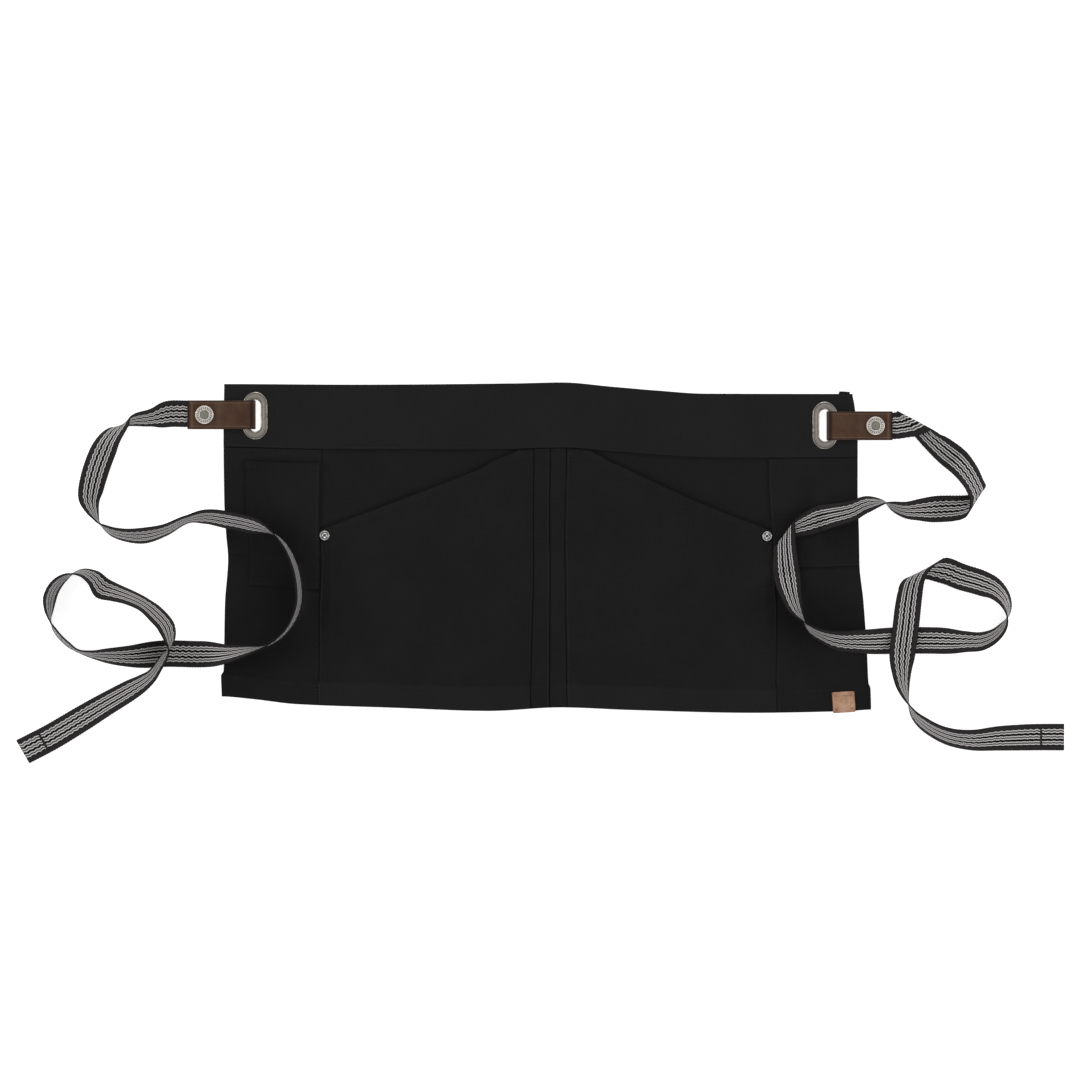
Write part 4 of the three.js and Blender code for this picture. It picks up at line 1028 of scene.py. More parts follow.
rightRoute = [
    {"x": 302, "y": 115.5, "across": -90, "tilt": 0, "on": "tab"},
    {"x": 331, "y": 115.5, "across": -90, "tilt": 0, "on": "tab"},
    {"x": 337, "y": 116, "across": -73, "tilt": 12, "slant": 10},
    {"x": 343.5, "y": 117.5, "across": -50, "tilt": 17, "slant": 36},
    {"x": 349.5, "y": 120, "across": -30, "tilt": 27, "slant": 50},
    {"x": 355, "y": 116.5, "across": -26, "tilt": 30, "slant": 48},
    {"x": 360, "y": 109, "across": -9, "tilt": 33, "slant": 38},
    {"x": 368.5, "y": 101, "across": 15, "tilt": 30, "slant": 24},
    {"x": 377, "y": 93.5, "across": 31, "tilt": 20, "slant": 10},
    {"x": 394.5, "y": 78, "across": 40, "tilt": -22},
    {"x": 402, "y": 68, "across": 32, "tilt": -34},
    {"x": 407, "y": 59, "across": 30, "tilt": -42, "slant": 5},
    {"x": 410, "y": 51.5, "across": 42, "tilt": -42, "slant": 20},
    {"x": 409, "y": 46, "across": 55, "tilt": -38, "slant": 34},
    {"x": 405.5, "y": 41.5, "across": 61, "tilt": -31, "slant": 36},
    {"x": 400, "y": 38.5, "across": 64, "tilt": -24, "slant": 28},
    {"x": 391, "y": 37, "across": 72, "tilt": -15, "slant": 14},
    {"x": 378, "y": 36.5, "across": 84, "tilt": -4, "slant": 4},
    {"x": 355.5, "y": 35.5, "across": 92, "tilt": 36},
    {"x": 340, "y": 35.5, "across": 86, "tilt": 56},
    {"x": 329.5, "y": 39, "across": 72, "tilt": 72},
    {"x": 323, "y": 42, "across": 66, "tilt": 90},
    {"x": 315.5, "y": 42, "across": 80, "tilt": 108, "on": "panel"},
    {"x": 304, "y": 40.5, "across": 98, "tilt": 127, "on": "facing"},
    {"x": 290.5, "y": 34.5, "across": 104, "tilt": 137, "on": "facing"},
    {"x": 269.5, "y": 29.5, "across": 100, "tilt": 154, "on": "facing"},
    {"x": 256, "y": 26, "across": 97, "tilt": 184, "on": "facing"},
    {"x": 247.5, "y": 23, "across": 85, "tilt": 198, "slant": 5, "on": "facing"},
    {"x": 236.5, "y": 19, "across": 69, "tilt": 212, "slant": 15, "on": "facing"},
    {"x": 227, "y": 12.5, "across": 52, "tilt": 208, "slant": 36, "on": "facing"},
    {"x": 226, "y": 7, "across": 41, "tilt": 205, "slant": 32, "on": "facing"},
    {"x": 226, "y": -1, "across": 31, "tilt": 205, "slant": 20, "on": "facing"},
    {"x": 226.5, "y": -10, "across": 19, "tilt": 200, "slant": 8, "on": "facing"},
    {"x": 228, "y": -24, "across": 9, "tilt": 184, "on": "facing"},
    {"x": 232, "y": -45, "across": 15, "tilt": 142, "on": "facing"},
    {"x": 236, "y": -57, "across": 28, "tilt": 125, "on": "facing"},
    {"x": 244, "y": -70, "across": 43, "tilt": 94, "on": "facing"},
    {"x": 252.5, "y": -79, "across": 50, "tilt": 72, "on": "facing"},
    {"x": 262, "y": -84, "across": 58, "tilt": 63, "on": "facing"},
    {"x": 275.5, "y": -88.5, "across": 68, "tilt": 45, "on": "facing"},
    {"x": 298, "y": -90, "across": 88, "tilt": 30, "on": "facing"},
    {"x": 336, "y": -89, "across": 90, "tilt": 4},
    {"x": 369.5, "y": -89, "across": 90, "tilt": -4},
    {"x": 398, "y": -90, "across": 92, "tilt": -40},
    {"x": 414.5, "y": -89.5, "across": 97, "tilt": -50},
    {"x": 426.5, "y": -84, "across": 108, "tilt": -62},
    {"x": 433.5, "y": -77, "across": 122, "tilt": -72},
    {"x": 437.5, "y": -69, "across": 160, "tilt": -88},
    {"x": 438.5, "y": -59, "across": 200, "tilt": -107},
    {"x": 436, "y": -51, "across": 220, "tilt": -120},
    {"x": 427, "y": -40.5, "across": 237, "tilt": -139},
    {"x": 414, "y": -34.5, "across": 249, "tilt": -160},
    {"x": 392, "y": -27.5, "across": 254, "tilt": -172},
    {"x": 382.5, "y": -23.5, "across": 254, "tilt": -182},
    {"x": 372, "y": -21, "across": 236, "tilt": -195, "slant": 12},
    {"x": 363, "y": -20.5, "across": 214, "tilt": -203, "slant": 36},
    {"x": 354, "y": -24.5, "across": 206, "tilt": -205, "slant": 42},
    {"x": 349, "y": -31, "across": 205, "tilt": -202, "slant": 38, "on": "tie"},
    {"x": 346.5, "y": -38.5, "across": 198, "tilt": -197, "slant": 20, "on": "tie"},
    {"x": 344.5, "y": -50.5, "across": 187, "tilt": -190, "slant": 5, "on": "tie"},
    {"x": 341.5, "y": -76, "across": 179, "tilt": -180, "on": "tippedTie"},
    {"x": 338.5, "y": -98.5, "across": 178, "tilt": -170, "on": "tippedTie"},
    {"x": 337.5, "y": -117.5, "across": 185, "tilt": -139, "on": "tie"},
    {"x": 339, "y": -134, "across": 192, "tilt": -117},
    {"x": 344.5, "y": -150.5, "across": 207, "tilt": -90},
    {"x": 350, "y": -160, "across": 219, "tilt": -75},
    {"x": 358.5, "y": -168, "across": 230, "tilt": -64},
    {"x": 370.5, "y": -175.5, "across": 238, "tilt": -58},
    {"x": 385, "y": -181, "across": 248, "tilt": -50},
    {"x": 401, "y": -183.5, "across": 264, "tilt": -43},
    {"x": 431.5, "y": -182, "across": 270, "tilt": -24},
    {"x": 465, "y": -181, "across": 270, "tilt": -8},
    {"x": 492.5, "y": -181, "across": 270, "tilt": 0},
]


def layTie(route, start):
    # centres, across vectors and lengths along the tie, one row for each step
    xs = np.array(column(route, "x")) + (start[0] - route[0]["x"])
    ys = np.array(column(route, "y")) + (start[1] - route[0]["y"])
    knots = np.concatenate([[0], np.cumsum(np.hypot(np.diff(xs), np.diff(ys)))])
    at = np.linspace(0, knots[-1], int(knots[-1] / tieLook["step"]))
    turn = np.radians(smoothColumn(knots, column(route, "across"), at))
    tip = np.radians(smoothColumn(knots, column(route, "tilt"), at))
    slants = [tieLook["width"] / math.cos(math.radians(row.get("slant", 0))) for row in route]
    width = smoothColumn(knots, slants, at)
    under = [row.get("on", "floor") for row in route]
    rest = smoothColumn(knots, [restHeights[name] for name in under], at)
    onCloth = smoothColumn(knots, [float(name in ("panel", "facing", "pocket")) for name in under], at)
    raised = width / 2 * np.abs(np.sin(tip)) + tieLook["thickness"] / 2 * np.abs(np.cos(tip))
    x, y = smoothColumn(knots, xs, at, False), smoothColumn(knots, ys, at, False)
    centres = np.stack([x, y, rest + raised + onCloth * lieOfCloth(x, y)], axis=1)
    edges = np.stack([np.cos(turn) * np.cos(tip), np.sin(turn) * np.cos(tip), np.sin(tip)], axis=1)
    edges = edges * width[:, None]
    lengths = np.concatenate([[0], np.cumsum(np.linalg.norm(np.diff(centres, axis=0), axis=1))])
    return centres, edges, lengths


def cupOfTie(across, length):
    return 0.35 * (1 - (2 * across - 1) ** 2) * np.sin(length / 37)


def makeTie(name, route, start):
    centres, edges, lengths = layTie(route, start)
    steps = len(centres) - 1
    piece, across, share = addGrid(name, (tieLook["cells"], steps))
    mesh = piece.data
    row = np.rint(share * steps).astype(int)
    along = np.gradient(centres, axis=0)
    face = np.cross(edges, along)
    face = face / np.linalg.norm(face, axis=1)[:, None]
    # scalloped selvedges, and a slight cup across
    reach = 1 + 0.016 * np.sin(lengths / 2.6 * 2 * math.pi)
    spread = (across - 0.5) * reach[row]
    cup = cupOfTie(across, lengths[row])
    points = centres[row] + edges[row] * spread[:, None] + face[row] * cup[:, None]
    mesh.vertices.foreach_set("co", (points * mm).ravel())
    corners = np.empty(len(mesh.loops), int)
    mesh.loops.foreach_get("vertex_index", corners)
    marks = np.stack([across[corners], lengths[row[corners]] * mm], axis=1)
    mesh.uv_layers.active.data.foreach_set("uv", marks.ravel())
    mesh.update()
    thicken(piece, tieLook["thickness"], 0.35, 60)
    bpy.ops.object.shade_smooth_by_angle(angle=math.radians(60))
    return piece, centres, edges, lengths


tieRoutes = {"left": leftRoute, "right": rightRoute}
tieEnds = {}
for side, route in tieRoutes.items():
    low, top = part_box("tab_" + side)
    inner = (low[0] / mm + tieLook["hidden"]) if side == "left" else (top[0] / mm - tieLook["hidden"])
    start = (inner, (low[1] + top[1]) / 2 / mm)
    tie, centres, edges, lengths = makeTie("webbingTie_" + side, route, start)
    dress(tie, webbing)
    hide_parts("tie_" + side)
    tieEnds[side] = (centres, edges, lengths)
    print("tie", side, "is", round(float(lengths[-1])), "mm long")


# Turned metal

def pickWhere(piece, test):
    # leaves the piece in edit mode with the chosen vertices selected, test in millimetres
    editMode(piece, "DESELECT")
    objectMode()
    for vertex in piece.data.vertices:
        vertex.select = bool(test(vertex.co / mm))
    bpy.ops.object.mode_set(mode="EDIT")


def markGrooves(piece, profile):
    # a row may say how dark its groove is, with patina and painted shade
    rows = np.array([(row["r"], row["z"]) for row in profile])
    dark = np.array([row.get("dark", 0) for row in profile], np.float32)
    points = np.array([vertex.co[:] for vertex in piece.data.vertices]) / mm
    spots = np.stack([np.hypot(points[:, 0], points[:, 1]), points[:, 2]], axis=1)
    nearest = np.argmin(((spots[:, None] - rows[None]) ** 2).sum(axis=2), axis=1)
    layer = piece.data.attributes.new("grooves", "FLOAT", "POINT")
    layer.data.foreach_set("value", dark[nearest])


def turned(name, profile, segments, closed):
    # a circle extruded through rows of radius and height
    pickNone()
    first = profile[0]
    halfStep = math.pi / segments
    bpy.ops.mesh.primitive_circle_add(vertices=segments, radius=first["r"] * mm, rotation=(0, 0, halfStep))
    piece = bpy.context.active_object
    piece.name = name
    piece.location.z = first["z"] * mm
    settle(piece)
    editMode(piece)
    last = first
    for row in profile[1:]:
        rise = (row["z"] - last["z"]) * mm
        bpy.ops.mesh.extrude_region_move(TRANSFORM_OT_translate={"value": (0, 0, rise)})
        grow = row["r"] / last["r"]
        bpy.ops.transform.resize(value=(grow, grow, 1), center_override=(0, 0, row["z"] * mm))
        last = row
    if closed:
        bpy.ops.mesh.select_all(action="DESELECT")
        bpy.ops.mesh.select_non_manifold()
        bpy.ops.mesh.bridge_edge_loops()
    else:
        bpy.ops.mesh.edge_face_add()
        objectMode()
        pickWhere(piece, lambda at: abs(at.z - first["z"]) < 0.001 and at.xy.length < first["r"] * 1.01)
        bpy.ops.mesh.edge_face_add()
    bpy.ops.mesh.select_all(action="SELECT")
    bpy.ops.mesh.normals_make_consistent(inside=False)
    objectMode()
    markGrooves(piece, profile)
    return piece


def moveTo(piece, x, y, z=0):
    piece.location = (x * mm, y * mm, z * mm)
    settle(piece)


def copyOf(piece, name):
    only(piece)
    bpy.ops.object.duplicate()
    made = bpy.context.active_object
    made.name = name
    return made


def smoothBy(piece, degrees, subdivide=0):
    if subdivide:
        finer = piece.modifiers.new("finer", "SUBSURF")
        finer.levels = subdivide
        finer.render_levels = subdivide
        applyAll(piece)
    only(piece)
    bpy.ops.object.shade_smooth_by_angle(angle=math.radians(degrees))


eyeletProfile = [
    {"r": 9.9, "z": 1.85},
    {"r": 6.0, "z": 1.85},
    {"r": 5.3, "z": 2.3},
    {"r": 5.15, "z": 3.2, "dark": 0.6},
    {"r": 5.15, "z": 5.3, "dark": 0.9},
    {"r": 5.3, "z": 5.85, "dark": 0.75},
    {"r": 5.65, "z": 6.2, "dark": 0.35},
    {"r": 6.1, "z": 6.35, "dark": 0.1},
    {"r": 6.45, "z": 6.28, "dark": 0.6},
    {"r": 6.85, "z": 6.3, "dark": 0.4},
    {"r": 7.6, "z": 6.54},
    {"r": 8.6, "z": 6.7},
    {"r": 9.5, "z": 6.6},
    {"r": 10.1, "z": 6.36, "dark": 0.6},
    {"r": 10.5, "z": 6.3, "dark": 0.35},
    {"r": 10.9, "z": 6.34, "dark": 0.1},
    {"r": 11.25, "z": 6.2, "dark": 0.3},
    {"r": 11.5, "z": 5.95, "dark": 0.75},
    {"r": 11.6, "z": 5.7, "dark": 0.9},
    {"r": 11.4, "z": 5.42},
    {"r": 6.7, "z": 5.36},
    {"r": 6.35, "z": 5.1},
    {"r": 6.35, "z": 2.6},
    {"r": 9.9, "z": 2.4},
]
rimStretch = 1.05


def fromSlot(at):
    return math.hypot(at.x, max(abs(at.y) - eyeletStraight, 0))


eyelet = turned("eyelet", eyeletProfile, 56, True)
for direction in (1, -1):
    pickWhere(eyelet, lambda at: at.y * direction > 0)
    bpy.ops.transform.translate(value=(0, direction * eyeletStraight * mm, 0))
    objectMode()
    for radius in (7.8, 8.7, 9.7, 10.4, 11.2):
        # the flange is a little wider at its ends
        pickWhere(eyelet, lambda at: at.y * direction > 0 and fromSlot(at) > radius)
        bpy.ops.transform.translate(value=(0, direction * rimStretch / 5 * mm, 0))
        objectMode()
smoothBy(eyelet, 45)
for side, spot in eyeletSpots.items():
    made = copyOf(eyelet, "ovalEyelet_" + side)
    moveTo(made, spot[0], spot[1])
    dress(made, darkNickel)
    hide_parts("eyelet_" + side)
bpy.data.objects.remove(eyelet)

snapLook = {"beads": 20, "beadRadius": 0.52, "beadRing": 6.45}
snapProfile = [
    {"r": 8.2, "z": 5.1},
    {"r": 8.6, "z": 5.25},
    {"r": 8.75, "z": 5.7, "dark": 0.4},
    {"r": 8.7, "z": 6.2},
    {"r": 8.45, "z": 6.65},
    {"r": 8.1, "z": 6.88},
    {"r": 7.75, "z": 6.85},
    {"r": 7.5, "z": 6.68, "dark": 0.3},
    {"r": 7.1, "z": 6.8, "dark": 0.6},
    {"r": 6.3, "z": 6.9, "dark": 0.75},
    {"r": 5.7, "z": 6.9, "dark": 0.6},
    {"r": 5.35, "z": 6.9},
    {"r": 5.0, "z": 6.98},
    {"r": 4.7, "z": 6.95},
    {"r": 4.45, "z": 6.7, "dark": 0.4},
    {"r": 4.3, "z": 6.4, "dark": 0.6},
    {"r": 4.2, "z": 6.3, "dark": 0.6},
]
dishProfile = [
    {"r": 4.3, "z": 6.3, "dark": 0.5},
    {"r": 3.6, "z": 6.34, "dark": 0.15},
    {"r": 2.4, "z": 6.46},
    {"r": 1.2, "z": 6.55, "dark": 0.1},
    {"r": 0.3, "z": 6.58, "dark": 0.2},
]
backProfile = [
    {"r": 4.6, "z": 0.05},
    {"r": 4.9, "z": -0.12},
    {"r": 4.5, "z": -0.26},
    {"r": 3.4, "z": -0.3},
    {"r": 2.9, "z": -0.16},
    {"r": 1.2, "z": -0.14},
    {"r": 0.5, "z": -0.2},
]
snapRing = turned("snapRing", snapProfile, 72, False)
pickNone()
bpy.ops.mesh.primitive_ico_sphere_add(subdivisions=2, radius=snapLook["beadRadius"] * mm)
bead = bpy.context.active_object
moveTo(bead, snapLook["beadRing"], 0, 6.98)
editMode(bead)
bpy.ops.transform.resize(value=(1.7, 0.95, 0.8), center_override=(snapLook["beadRing"] * mm, 0, 6.98 * mm))
share = (snapLook["beads"] - 1) / snapLook["beads"]
spin = {"steps": snapLook["beads"] - 1, "angle": 2 * math.pi * share, "dupli": True}
bpy.ops.mesh.spin(center=(0, 0, 0), axis=(0, 0, 1), **spin)
objectMode()
snapRing = joined([snapRing, bead], "snapRing")
smoothBy(snapRing, 50)
snapDish = turned("snapDish", dishProfile, 48, False)
smoothBy(snapDish, 50)
snapBack = turned("snapBack", backProfile, 40, False)
smoothBy(snapBack, 50)
for side in ("left", "right"):
    spot = middleOf("snap_" + side)
    for part, material in ((snapRing, brightNickel), (snapDish, centreNickel), (snapBack, brightNickel)):
        made = copyOf(part, part.name + "_" + side)
        moveTo(made, spot[0], spot[1])
        dress(made, material)
        if part == snapRing:
            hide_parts("snap_" + side)
for part in (snapRing, snapDish, snapBack):
    bpy.data.objects.remove(part)
print("eyelets and snaps made")


# Leather tabs, folded through the eyelets. Places are millimetres outwards from the eyelet's middle.

tabLook = {"width": 27.5, "thickness": 1.5, "low": 0.75, "high": 7.55, "atEdge": 6.25, "webbed": 4.15}
tabSides = {
    "left": {"outwards": -1, "bend": -0.4, "length": 65, "drop": -0.9},
    "right": {"outwards": 1, "bend": 1.6, "length": 63, "drop": 0.3},
}


def tabPath(side):
    part = tabSides[side]
    bend, end = part["bend"], part["bend"] + part["length"]
    radius = (tabLook["high"] - tabLook["low"]) / 2
    middle = tabLook["low"] + radius
    turnOut = bend + radius + tabLook["thickness"] / 2
    path = [(out, tabLook["low"]) for out in np.linspace(end - 0.9, turnOut, 60)]
    for turn in np.linspace(0.12, math.pi - 0.12, 16):
        path.append((turnOut - radius * math.sin(turn), middle - radius * math.cos(turn)))
    knots = [turnOut, 14.3, 30.3, end - 26, end]
    heights = [tabLook["high"], tabLook["high"], tabLook["atEdge"], tabLook["webbed"], tabLook["webbed"]]
    for out in np.linspace(turnOut, end, 90):
        path.append((out, float(smoothColumn(knots, heights, out))))
    return np.array(path)


def tabSurface(path, spot, part):
    def surface(u, v):
        row = np.rint(v * (len(path) - 1)).astype(int)
        out, z = path[row, 0], path[row, 1]
        front = (row > 80) * smoothStep((out - part["bend"] - part["length"] + 5) / 5)
        sag = 0.25 * front * (2 * u - 1) ** 2
        y = spot[1] - part["drop"] + (u - 0.5) * tabLook["width"]
        return spot[0] + part["outwards"] * out, y, z - sag
    return surface


for side, part in tabSides.items():
    path = tabPath(side)
    surface = tabSurface(path, eyeletSpots[side], part)
    tab = makeSheet("leatherTab_" + side, (14, len(path) - 1), surface, tabLook["thickness"])
    if part["outwards"] < 0:
        editMode(tab)
        bpy.ops.mesh.normals_make_consistent(inside=False)
        objectMode()
    dress(tab, brownLeather)
    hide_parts("tab_" + side)
print("tabs made")


# What is sewn or set on the cloth is seated by looking down on it

clothPieces = [piece for piece in bpy.data.objects if piece.name.startswith(clothNames)]
clothTrees = []
for piece in clothPieces:
    points = [vertex.co.copy() for vertex in piece.data.vertices]
    faces = [tuple(face.vertices) for face in piece.data.polygons]
    clothTrees.append(BVHTree.FromPolygons(points, faces))


def topAt(x, y):
    heights = [0.0]
    for tree in clothTrees:
        hit = tree.ray_cast(Vector((x * mm, y * mm, 0.1)), Vector((0, 0, -1)))
        if hit[0] is not None:
            heights.append(hit[0].z / mm)
    return max(heights)


rivetProfile = [
    {"r": 4.3, "z": -0.1},
    {"r": 4.6, "z": 0.1, "dark": 0.9},
    {"r": 4.75, "z": 0.45, "dark": 0.9},
    {"r": 4.6, "z": 0.85, "dark": 0.6},
    {"r": 4.2, "z": 1.12},
    {"r": 3.7, "z": 1.1},
    {"r": 3.3, "z": 0.8, "dark": 0.8},
    {"r": 2.9, "z": 0.62, "dark": 0.95},
    {"r": 2.5, "z": 0.72, "dark": 0.6},
    {"r": 2.15, "z": 1.1},
    {"r": 1.75, "z": 1.3},
    {"r": 1.35, "z": 1.2, "dark": 0.2},
    {"r": 1.05, "z": 0.8, "dark": 0.9},
    {"r": 0.8, "z": 0.6, "dark": 1},
    {"r": 0.3, "z": 0.95, "dark": 0.8},
]
for side in ("left", "right"):
    spot = middleOf("pocket_rivet_" + side)
    rivet = turned("pocketRivet_" + side, rivetProfile, 40, False)
    smoothBy(rivet, 50)
    moveTo(rivet, spot[0], spot[1], topAt(spot[0], spot[1]))
    dress(rivet, rivetNickel)
    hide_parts("pocket_rivet_" + side)

labelLook = {
    "width": 21.4,
    "height": 20,
    "thickness": 1.2,
    "turn": 3.5,
    "border": 3.6,
    "depth": 0.3,
}


def makeLabel():
    look = labelLook
    pickNone()
    bpy.ops.mesh.primitive_cube_add(size=1)
    piece = bpy.context.active_object
    piece.name = "leatherLabel"
    piece.scale = (look["width"] * mm, look["height"] * mm, look["thickness"] * mm)
    settle(piece)
    editMode(piece)
    bpy.ops.mesh.select_mode(type="EDGE")
    objectMode()
    for edge in piece.data.edges:
        ends = [piece.data.vertices[index].co for index in edge.vertices]
        edge.select = abs(ends[0].z - ends[1].z) > 0.5 * look["thickness"] * mm
    bpy.ops.object.mode_set(mode="EDIT")
    bpy.ops.mesh.bevel(offset=1.1 * mm, segments=4)
    bpy.ops.mesh.select_mode(type="FACE")
    bpy.ops.mesh.select_all(action="DESELECT")
    objectMode()
    for face in piece.data.polygons:
        face.select = face.normal.z > 0.9
    bpy.ops.object.mode_set(mode="EDIT")
    bpy.ops.mesh.inset(thickness=look["border"] * mm)
    bpy.ops.mesh.inset(thickness=0.25 * mm, depth=-look["depth"] * mm)
    bpy.ops.mesh.inset(thickness=1.1 * mm)
    bpy.ops.mesh.inset(thickness=0.25 * mm, depth=look["depth"] * 0.6 * mm)
    bpy.ops.mesh.select_mode(type="VERT")
    objectMode()
    roundEdges(piece, 0.16, 35)
    applyAll(piece)
    smoothBy(piece, 40)
    reach = (look["width"] / 2 - look["border"] - 0.15, look["height"] / 2 - look["border"] - 0.15)
    layer = piece.data.attributes.new("tooled", "FLOAT", "POINT")
    for vertex in piece.data.vertices:
        at = vertex.co / mm
        layer.data[vertex.index].value = float(at.z > 0 and abs(at.x) < reach[0] and abs(at.y) < reach[1])
    piece.rotation_euler.z = math.radians(look["turn"])
    moveTo(piece, labelSpot[0], labelSpot[1], topAt(labelSpot[0], labelSpot[1] + 3) + 0.75)
    return piece


label = makeLabel()
dress(label, tanLeather)
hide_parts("label")
print("rivets and label made")


# Stitching

stitchLook = {"length": 2.5, "pitch": 3.2, "thread": 0.2, "sunk": 0.04}


def stitchRod():
    pickNone()
    half = stitchLook["length"] / 2 * mm
    size = {"vertices": 6, "radius": stitchLook["thread"] * mm, "depth": half}
    bpy.ops.mesh.primitive_cylinder_add(rotation=(0, math.pi / 2, 0), **size)
    rod = bpy.context.active_object
    settle(rod)
    for direction in (1, -1):
        pickWhere(rod, lambda at: at.x * direction > 0)
        push = {"value": (direction * half / 2, 0, -0.16 * mm)}
        bpy.ops.mesh.extrude_region_move(TRANSFORM_OT_translate=push)
        centre = (direction * half, 0, -0.16 * mm)
        bpy.ops.transform.resize(value=(1, 0.55, 0.55), center_override=centre)
        objectMode()
    moveTo(rod, stitchLook["pitch"] / 2, 0)
    return rod


def sewAlong(name, places):
    # lays stitches along places, millimetres, on whatever cloth is there
    points = []
    for a, b in zip(places[:-1], places[1:]):
        count = max(1, int(math.dist(a, b) / 3))
        for step in range(count):
            points.append((mix(a[0], b[0], step / count), mix(a[1], b[1], step / count)))
    points.append(tuple(places[-1]))
    heights = [topAt(x, y) for x, y in points]
    curve = bpy.data.curves.new(name + "Path", "CURVE")
    curve.dimensions = "3D"
    curve.twist_mode = "Z_UP"
    spline = curve.splines.new("POLY")
    spline.points.add(len(points) - 1)
    for index, (x, y) in enumerate(points):
        z = heights[index] - stitchLook["sunk"]
        spline.points[index].co = (x * mm, y * mm, z * mm, 1)
    holder = bpy.data.objects.new(name + "Path", curve)
    bpy.context.collection.objects.link(holder)
    length = sum(math.dist(a, b) for a, b in zip(points[:-1], points[1:]))
    row = copyOf(rodPattern, name)
    array = row.modifiers.new("row", "ARRAY")
    array.count = max(1, int(length / stitchLook["pitch"]))
    array.use_relative_offset = False
    array.use_constant_offset = True
    array.constant_offset_displace = (stitchLook["pitch"] * mm, 0, 0)
    bend = row.modifiers.new("bend", "CURVE")
    bend.object = holder
    applyAll(row)
    bpy.data.objects.remove(holder)
    return row


rodPattern = stitchRod()


def alongPanel(start, end, pieces=24):
    # places on the way between two (across, up) pairs
    shares = np.linspace(0, 1, pieces)
    x, y = onPanel(mix(start[0], end[0], shares), mix(start[1], end[1], shares))
    return list(zip(x.tolist(), y.tolist()))


def alongSeam(name, low, top, offset, pieces=24):
    up = np.linspace(low, top, pieces)
    x, y = onPanel(seamAt(name, up, offset), up)
    return list(zip(x.tolist(), y.tolist()))


def alongMouth(table, inset, pieces=60):
    shares = np.linspace(0.01, 0.99, pieces)
    across, up = pocketPlace(table, shares, 1)
    up = up - inset / high
    x, y = onPanel(across, up)
    return list(zip(x.tolist(), y.tolist()))


bandLow = waistUp + 2 / high
pencilLeft = (cloth["pencilInset"] + 1.8) / wide
pencilFoot = pencilLowUp + 0.006
facingFoot = facingUp + 2 / high
# these rows are sewn with the painted highlight on the thread
seamRows = {
    "leftOuter": alongSeam("left", hemUp * 0.05, pencilLowUp - 0.01, -2.0),
    "pencilRight": alongSeam("left", pencilLowUp + 0.004, pencilTopUp - 0.004, -3.2),
    "leftInner": alongSeam("left", 0.002, 0.545, 2.0),
    "tuckMiddle": alongSeam("tuckMiddle", 0.002, seamUp - 0.004, -1.6),
    "rightTuckPocket": alongSeam("tuckRight", 0.002, seamUp - 0.004, 2.0),
    "rightOuter": alongSeam("right", 0.002, seamUp - 0.004, 2.2),
    "bandSeamStart": alongPanel((0.005, bandLow), (0.1, bandLow), 12),
    "bandSeamMiddle": alongPanel((0.19, bandLow), (0.28, bandLow), 12),
    "facingLowRight": alongPanel((0.872, facingFoot), (0.996, facingFoot)),
}
quietRows = {
    "bandSeamLeft": alongPanel((0.105, bandLow), (0.185, bandLow), 12),
    "bandSeamRight": alongPanel((0.285, bandLow), (0.995, bandLow), 90),
    "pencilLeft": alongPanel((pencilLeft, pencilFoot), (pencilLeft, pencilTopUp - 0.004)),
    "pencilLow": alongPanel((pencilLeft, pencilFoot), (0.142, pencilFoot)),
    "pencilMouth": alongPanel((pencilLeft, pencilTopUp - 9 / high), (0.142, pencilTopUp - 9 / high)),
    "leftTuckPocket": alongSeam("tuckLeft", 0.002, seamUp - 0.004, -2.0),
    "rightInner": alongSeam("right", 0.002, 0.565, -2.0),
    "facingLowLeft": alongPanel((0.006, facingFoot), (0.03, facingFoot)),
    "leftMouth": alongMouth(pocketTables["left"], cloth["mouthHem"]),
    "rightMouth": alongMouth(pocketTables["right"], cloth["mouthHem"]),
    "hem": alongPanel((0.004, hemUp - 1.5 / high), (0.996, hemUp - 1.5 / high), 120),
}
# bar tacks at the pencil pocket's right side
tackLook = {"rows": 3, "apart": 0.7, "long": 9}
for number in range(tackLook["rows"]):
    inset = -2.6 - number * tackLook["apart"]
    for end, low in (("Top", pencilTopUp - tackLook["long"] / high), ("Low", pencilFoot)):
        quietRows["tack" + end + str(number)] = alongSeam("left", low, low + 8 / high, inset, 4)


def sewAll(name, rows, thread):
    sewn = joined([sewAlong(key, places) for key, places in rows.items()], name)
    dress(sewn, thread)
    print(name, "made,", len(sewn.data.polygons), "faces")


sewAll("seamStitches", seamRows, seamThread)
sewAll("quietStitches", quietRows, quietThread)
bpy.data.objects.remove(rodPattern)


# A stitched bar across each tie near its end

barLook = {"fromEnd": 22.3, "rods": 36, "from": 0.18, "to": 0.82, "rod": 2.0, "thread": 0.36}


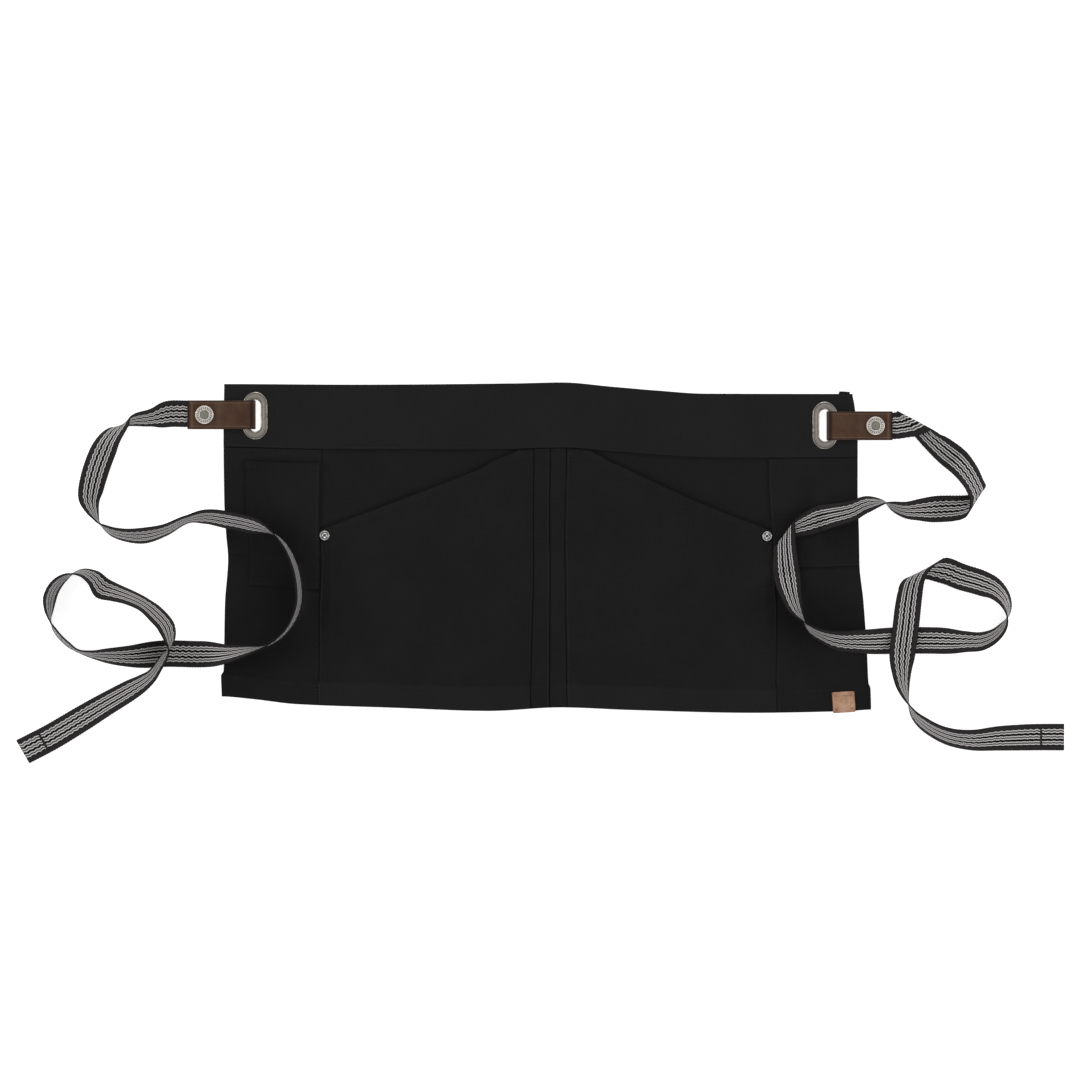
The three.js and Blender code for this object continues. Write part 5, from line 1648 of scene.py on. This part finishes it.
def makeBar(name, centres, edges, lengths):
    row = int(np.searchsorted(lengths, lengths[-1] - barLook["fromEnd"]))
    along = centres[row + 1] - centres[row - 1]
    turn = math.atan2(along[1], along[0])
    face = np.cross(edges[row], along)
    face = face / np.linalg.norm(face)
    seen = np.sign(face[2])
    pickNone()
    size = {"vertices": 8, "radius": barLook["thread"] * mm, "depth": barLook["rod"] * mm}
    bpy.ops.mesh.primitive_cylinder_add(rotation=(0, math.pi / 2, 0), **size)
    rod = bpy.context.active_object
    rod.name = name
    settle(rod)
    edge = rod.modifiers.new("edge", "BEVEL")
    edge.width = 0.1 * mm
    edge.segments = 2
    applyAll(rod)
    rods = []
    for number in range(barLook["rods"]):
        share = mix(barLook["from"], barLook["to"], number / (barLook["rods"] - 1))
        lift = cupOfTie(share, lengths[row]) + seen * (tieLook["thickness"] / 2 + 0.12)
        spot = centres[row] + edges[row] * (share - 0.5) + face * lift
        made = copyOf(rod, name + str(number))
        made.rotation_euler.z = turn + (0.3 if number % 2 else -0.3)
        moveTo(made, spot[0], spot[1], spot[2])
        rods.append(made)
    bpy.data.objects.remove(rod)
    return joined(rods, name)


for side, (centres, edges, lengths) in tieEnds.items():
    bar = makeBar("tieBar_" + side, centres, edges, lengths)
    dress(bar, quietThread)


# Stage

pickNone()
bpy.ops.mesh.primitive_plane_add(size=8, location=(0, 0, -0.0004))
tableTop = bpy.context.active_object
tableTop.name = "tableTop"
tableFinish = Finish("paleTable", {
    "Base Color": (0.80, 0.80, 0.80, 1),
    "Roughness": 0.9,
    "Specular IOR Level": 0.05,
    "Emission Color": (1, 1, 1, 1),
    "Emission Strength": 0.75,
})
tableTop.data.materials.append(tableFinish.material)

view = {"centreX": -0.00667, "centreY": 0.00667, "height": 14.0, "frameSide": 1.0287, "sensor": 36}
cameraData = bpy.data.cameras.new("camera")
cameraData.sensor_width = view["sensor"]
cameraData.lens = view["sensor"] * view["height"] / view["frameSide"]
camera = bpy.data.objects.new("camera", cameraData)
camera.location = (view["centreX"], view["centreY"], view["height"])
bpy.context.collection.objects.link(camera)
bpy.context.scene.camera = camera

lamps = [
    {"name": "left", "x": -1.9, "y": 0.25, "z": 0.95, "size": 1.0, "power": 17},
    {"name": "right", "x": 1.9, "y": 0.05, "z": 0.95, "size": 1.0, "power": 15},
    {"name": "far", "x": 0.1, "y": 1.9, "z": 1.0, "size": 1.0, "power": 15},
    {"name": "near", "x": -0.1, "y": -1.9, "z": 0.95, "size": 1.0, "power": 13},
]
for lamp in lamps:
    data = bpy.data.lights.new(lamp["name"], "AREA")
    data.size = lamp["size"]
    data.energy = lamp["power"]
    light = bpy.data.objects.new(lamp["name"], data)
    light.location = (lamp["x"], lamp["y"], lamp["z"])
    aim = -Vector(light.location)
    light.rotation_euler = aim.to_track_quat("-Z", "Y").to_euler()
    light.visible_camera = False
    bpy.context.collection.objects.link(light)

world = bpy.data.worlds.new("studio")
bpy.context.scene.world = world
world.use_nodes = True
world.node_tree.nodes["Background"].inputs["Color"].default_value = (1, 1, 1, 1)
world.node_tree.nodes["Background"].inputs["Strength"].default_value = 0.22
bpy.context.scene.view_settings.view_transform = "Standard"
print("stage set")
